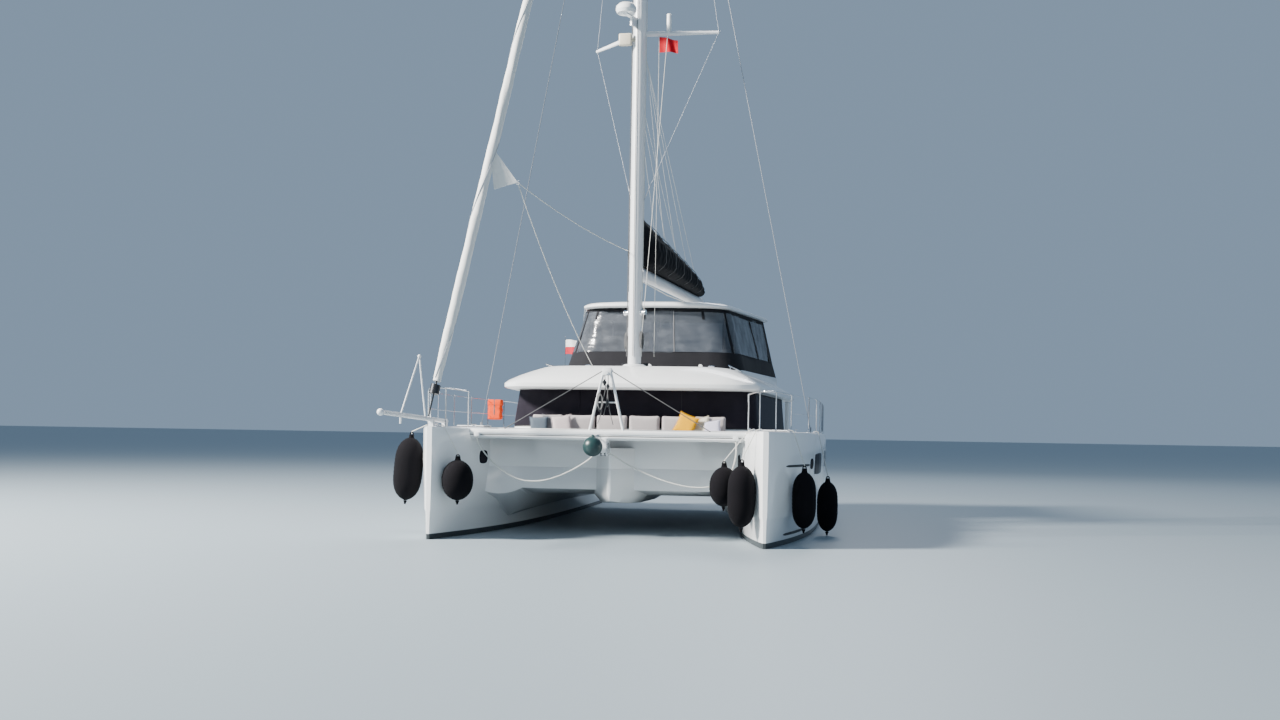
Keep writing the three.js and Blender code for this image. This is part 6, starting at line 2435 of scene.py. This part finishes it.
class Fenders(Builder):
    """The covered fenders, each with its neck, eye, tail and rope."""

    rows = (
        # node, side, board, distance aft, radius, length, middle's height, gap to the hull, lean
        ("fender_starboard_outer", Side.STARBOARD, 1, 1.500, 0.280, 1.250, 1.230, 0.008, 5.0),
        ("fender_starboard_ball", Side.STARBOARD, -1, 0.250, 0.290, 0.760, 1.080, 0.008, 0.0),
        ("fender_port_ball", Side.PORT, -1, 0.680, 0.266, 0.740, 1.050, 0.192, 0.0),
        ("fender_port_inner", Side.PORT, -1, 0.255, 0.250, 1.130, 0.900, 0.008, 0.0),
        ("fender_port_fore", Side.PORT, 1, 1.000, 0.220, 1.060, 0.825, 0.008, 0.0),
        ("fender_port_aft", Side.PORT, 1, 3.600, 0.210, 1.030, 0.590, 0.008, 0.0),
    )
    rings = 30

    def build(self) -> None:
        """Builds each fender of the table."""
        for row in self.rows:
            self.fender(*row)

    def fender(
        self, node: str, side: Side, board: int, aft: float, radius: float, length: float, z: float,
        gap: float,
        lean: float,
    ) -> None:
        """Makes one fender in its knitted cover, hung from the deck's edge.

        Args:
            node: the node that it stands for.
            side: the hull's side.
            board: 1 outside the hull, -1 inside.
            aft: its distance aft.
            radius: its radius.
            length: its length without the neck.
            z: the height of its middle.
            gap: its distance from the hull.
            lean: how far it leans to the left, in degrees.
        """
        deck = Hulls.deck_half(aft)
        out = side.value * (HULL_X + board * (deck + radius + gap))
        half = length / 2
        profile = []
        for i in range(self.rings + 1):
            h = -1.0 + 2.0 * i / self.rings
            ball = radius * 2.0 / length > 0.6
            r = (1.0 - abs(h) ** (2.3 if ball else 3.5)) ** (0.56 if ball else 0.62)
            r = max(r, 0.07) * (1.0 + (0.012 if i % 2 else 0.0))
            profile.append((radius * 0.985 * r, h * half * 0.985))
        body = turned((0.0, 0.0, 0.0), UP, profile, 36)
        neck = turned((0.0, 0.0, half * 0.93), UP, (
            (0.062, 0.0), (0.052, 0.03), (0.045, 0.06), (0.05, 0.075), (0.03, 0.085),
        ), 20)
        tail = turned((0.0, 0.0, -half * 0.995), (0.0, 0.0, -1.0), (
            (0.04, 0.0), (0.03, 0.02), (0.02, 0.045), (0.016, 0.07),
        ), 14)
        top = step_up(half + 0.055)
        form = join_all(f"{node}_cover", [body, neck, tail, ring(top, 0.03, 0.011, 20, 8)])
        place = Matrix.Translation(at(out, aft, z) + top) @ rotation(lean, "Y") @ Matrix.Translation(-top)
        form.data.transform(place)
        self.put(smooth(form, 50.0), "fender_cover", "fabric_black", replaces=(node,))
        edge = side.value * (HULL_X + board * (deck + 0.014))
        rail = side.value * (HULL_X + board * (deck - 0.07))
        path = [
            at(rail, aft, DECK_Z + 0.034), at(edge, aft, DECK_Z + 0.016),
            at(out, aft, z + half + 0.10), at(out, aft, z + half + 0.055),
        ]
        self.hung(cable(f"{node}_line", path, 0.0085, 2), path, 0.017)
        low, high = at(
            rail - 0.022, aft - 0.05, DECK_Z + 0.0005,
        ), at(rail + 0.022, aft + 0.05, DECK_Z + 0.036)
        cleat = block(low, high, 0.008)
        self.put(smooth(cleat), "steel", name=f"{node}_cleat")


class Rails(Builder):
    """The guard rails with their post feet, the lower wires, and the loose gear on them."""

    first = 1.15
    last = 11.75
    posts = 8
    inset = 0.075
    fittings = (
        # height of the foot, radii and heights over it, sides
        (DECK_Z + 0.0004, ((0.035, 0.0), (0.033, 0.008), (0.02, 0.016), (0.018, 0.05)), 16),
        (DECK_Z + 0.675, ((0.014, 0.0), (0.019, 0.006), (0.019, 0.02), (0.008, 0.028)), 14),
    )

    def build(self) -> None:
        """Dresses both rails and adds what is on them."""
        for side in Side:
            self.skin(f"guard_rail_{side.word}", "steel", degrees=60.0)
            spots = [
                (side.value * (HULL_X + Hulls.deck_half(aft) - self.inset), aft)
                for aft in np.linspace(self.first, self.last, self.posts)
            ]
            parts = [
                turned(at(x, aft, z), UP, profile, sides)
                for z, profile, sides in self.fittings for x, aft in spots
            ]
            self.group(f"post_feet_{side.word}", parts, "steel")
            wires = [
                cable("wire", [at(x0, a0, DECK_Z + 0.34), at(x1, a1, DECK_Z + 0.34)], 0.004, 1)
                for (x0, a0), (x1, a1) in zip(spots, spots[1:])
            ]
            self.bundle(f"lower_wire_{side.word}", wires, "steel")
        self.bag()
        self.ball()
        self.flag()

    def bag(self) -> None:
        """Replaces the bag on the starboard rail with a soft form, its flap and its strap."""
        low, high = (Vector(corner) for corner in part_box("rail_bag"))
        half, middle = (high - low) / 2, (low + high) / 2
        form = block(-half, half, 0.05, 4)
        form = remeshed(subdivided(form, 2), 0.014)
        for vertex in form.data.vertices:
            a, b, c = (vertex.co[i] / half[i] for i in range(3))
            vertex.co.x *= 0.93 + 0.05 * math.sin(9.0 * c + 3.0 * b)
            vertex.co.y *= 0.92 - 0.06 * c + 0.03 * math.sin(7.0 * c + 4.0 * a)
            vertex.co.z *= 0.985
        form.data.transform(Matrix.Translation(middle))
        self.put(smooth(form, 60.0), "fabric_orange", replaces=("rail_bag",), name="rescue_bag")
        flap = block(
            Vector((low.x + 0.004, low.y + 0.006, high.z - 0.15)),
            Vector((high.x - 0.004, high.y - 0.006, high.z - 0.004)), 0.03, 3,
        )
        self.put(smooth(flap), "fabric_orange", name="rescue_bag_flap")
        strap = block(
            Vector((middle.x - 0.02, low.y + 0.002, low.z + 0.03)),
            Vector((middle.x + 0.02, high.y - 0.002, high.z - 0.002)), 0.02, 2,
        )
        self.put(smooth(strap), "dark_rope", "fabric_orange", name="rescue_bag_strap")

    def ball(self) -> None:
        """Replaces the hanging ball with a smoother one that has a neck, and adds its arm."""
        x, aft, z, radius, arm_z = -0.15, 0.64, 1.735, 0.184, 1.945
        angles = [math.radians(degrees) for degrees in range(-84, 85, 7)]
        profile = [(max(0.02, radius * math.cos(a)), radius * math.sin(a)) for a in angles]
        ball = turned(at(x, aft, z), UP, profile, 40)
        neck = turned(at(x, aft, z + radius - 0.012), UP, (
            (0.045, 0.0), (0.04, 0.02), (0.03, 0.035), (0.018, 0.04),
        ), 20)
        form = join_all("ball_float", [ball, neck])
        self.put(smooth(form, 50.0), "rubber_green", replaces=("hanging_ball",))
        arm = [
            rod(at(x, 1.079, arm_z), at(x, aft - 0.01, arm_z), 0.012, 14),
            rod(at(x, 1.070, arm_z), at(x, 1.0785, arm_z), 0.035, 18),
            rod(at(x, aft, arm_z + 0.006), at(x, aft, z + radius + 0.02), 0.008, 10),
        ]
        self.group("ball_arm", arm, "steel")

    def flag(self) -> None:
        """Replaces the flag with waving cloth on its staff."""
        x, aft, top, bottom, width = -3.10, 12.05, 4.52, 4.13, 0.56

        def place(u: float, v: float) -> Vector:
            """The flag's point: u away from the staff, v up it."""
            wave = 0.035 * u * math.sin(11.0 * u + 2.0 * v)
            drop = 0.03 * u * u - 0.01 * math.sin(9.0 * u)
            return at(x + 0.008 + width * 0.985 * u, aft + wave, bottom + (top - bottom) * v - drop)
        cloth = surface("flag_cloth_piece", 30, 18, place, 0.002)
        staff = [
            rod(at(x, aft, DECK_Z + 0.0005), at(x, aft, 4.60), 0.011, 12, 0.009 / 0.011),
            turned(at(x, aft, 4.595), UP, ((0.008, 0.0), (0.017, 0.01), (0.017, 0.02), (0.006, 0.025)), 12),
            turned(
                at(x, aft, DECK_Z + 0.0004), UP, ((0.035, 0.0), (0.03, 0.012), (0.018, 0.02), (0.016, 0.14)),
                14,
            ),
        ]
        self.put(smooth(cloth, 60.0), "flag_cloth", replaces=("flag",))
        self.group("flag_staff", staff, "steel")


class Cockpit(Builder):
    """The saloon's and cockpit's furniture, the deck hatches and what is under water."""

    def build(self) -> None:
        """Builds every piece."""
        self.soft("saloon_sofa", "fabric_rest")
        self.skin("galley_counter", "teak", 0.01)
        self.skin("cockpit_table", "teak", 0.012)
        self.skin("cockpit_seat", "deck_white", 0.02)
        pads = pad((0.96, 0.40, 0.085), 0.025, 0.010, 0.014, 0.008)
        for i in range(3):
            place = Matrix.Translation(at(-0.99 + 0.99 * i, 11.925, 1.787))
            self.stuffed(duplicate(pads), f"cockpit_pad_{i}", place, "fabric_rest", 0.85)
        discard(pads)
        for side in Side:
            self.hatch(side)
            self.skin(f"rudder_{side.word}", "antifoul", 0.006, degrees=50.0)
            self.skin(f"saildrive_{side.word}", "alloy", 0.004, degrees=50.0)
            self.skin(f"propeller_{side.word}", "bronze", degrees=40.0)

    def soft(self, node: str, finish: str) -> None:
        """Replaces a seat block with rounded upholstery."""
        form = node_copy(node, f"{node}_form")
        bevelled(form, 0.045, 4, 30.0)
        self.put(smooth(form, 60.0), finish, "fabric_pale", replaces=(node,))

    def hatch(self, side: Side) -> None:
        """Dresses one deck hatch and adds its frame."""
        node = f"hatch_{side.word}"
        self.skin(node, "glass_dark", 0.004)
        low, high = (Vector(corner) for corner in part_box(node))
        spots = ((low.x, low.y), (high.x, low.y), (high.x, high.y), (low.x, high.y))
        corners = [Vector((x, y, high.z + 0.001)) for x, y in spots]
        rim = [rod(a, b, 0.012, 10) for a, b in zip(corners, corners[1:] + corners[:1])]
        self.group(f"hatch_rim_{side.word}", rim, "alloy")


def main() -> None:
    """Builds the view and every sub-assembly."""
    logging.basicConfig(level=logging.INFO, format="%(name)s %(message)s")
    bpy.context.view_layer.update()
    View().build()
    finishes = Finishes()
    builders = (
        Bridle, Hulls, Foredeck, Cabin, Roof, Lounge, Flybridge, Rig, Boom, Headsail, Fenders, Rails,
        Cockpit,
    )
    for builder in builders:
        builder(finishes).build()


if __name__ == "__main__":
    main()
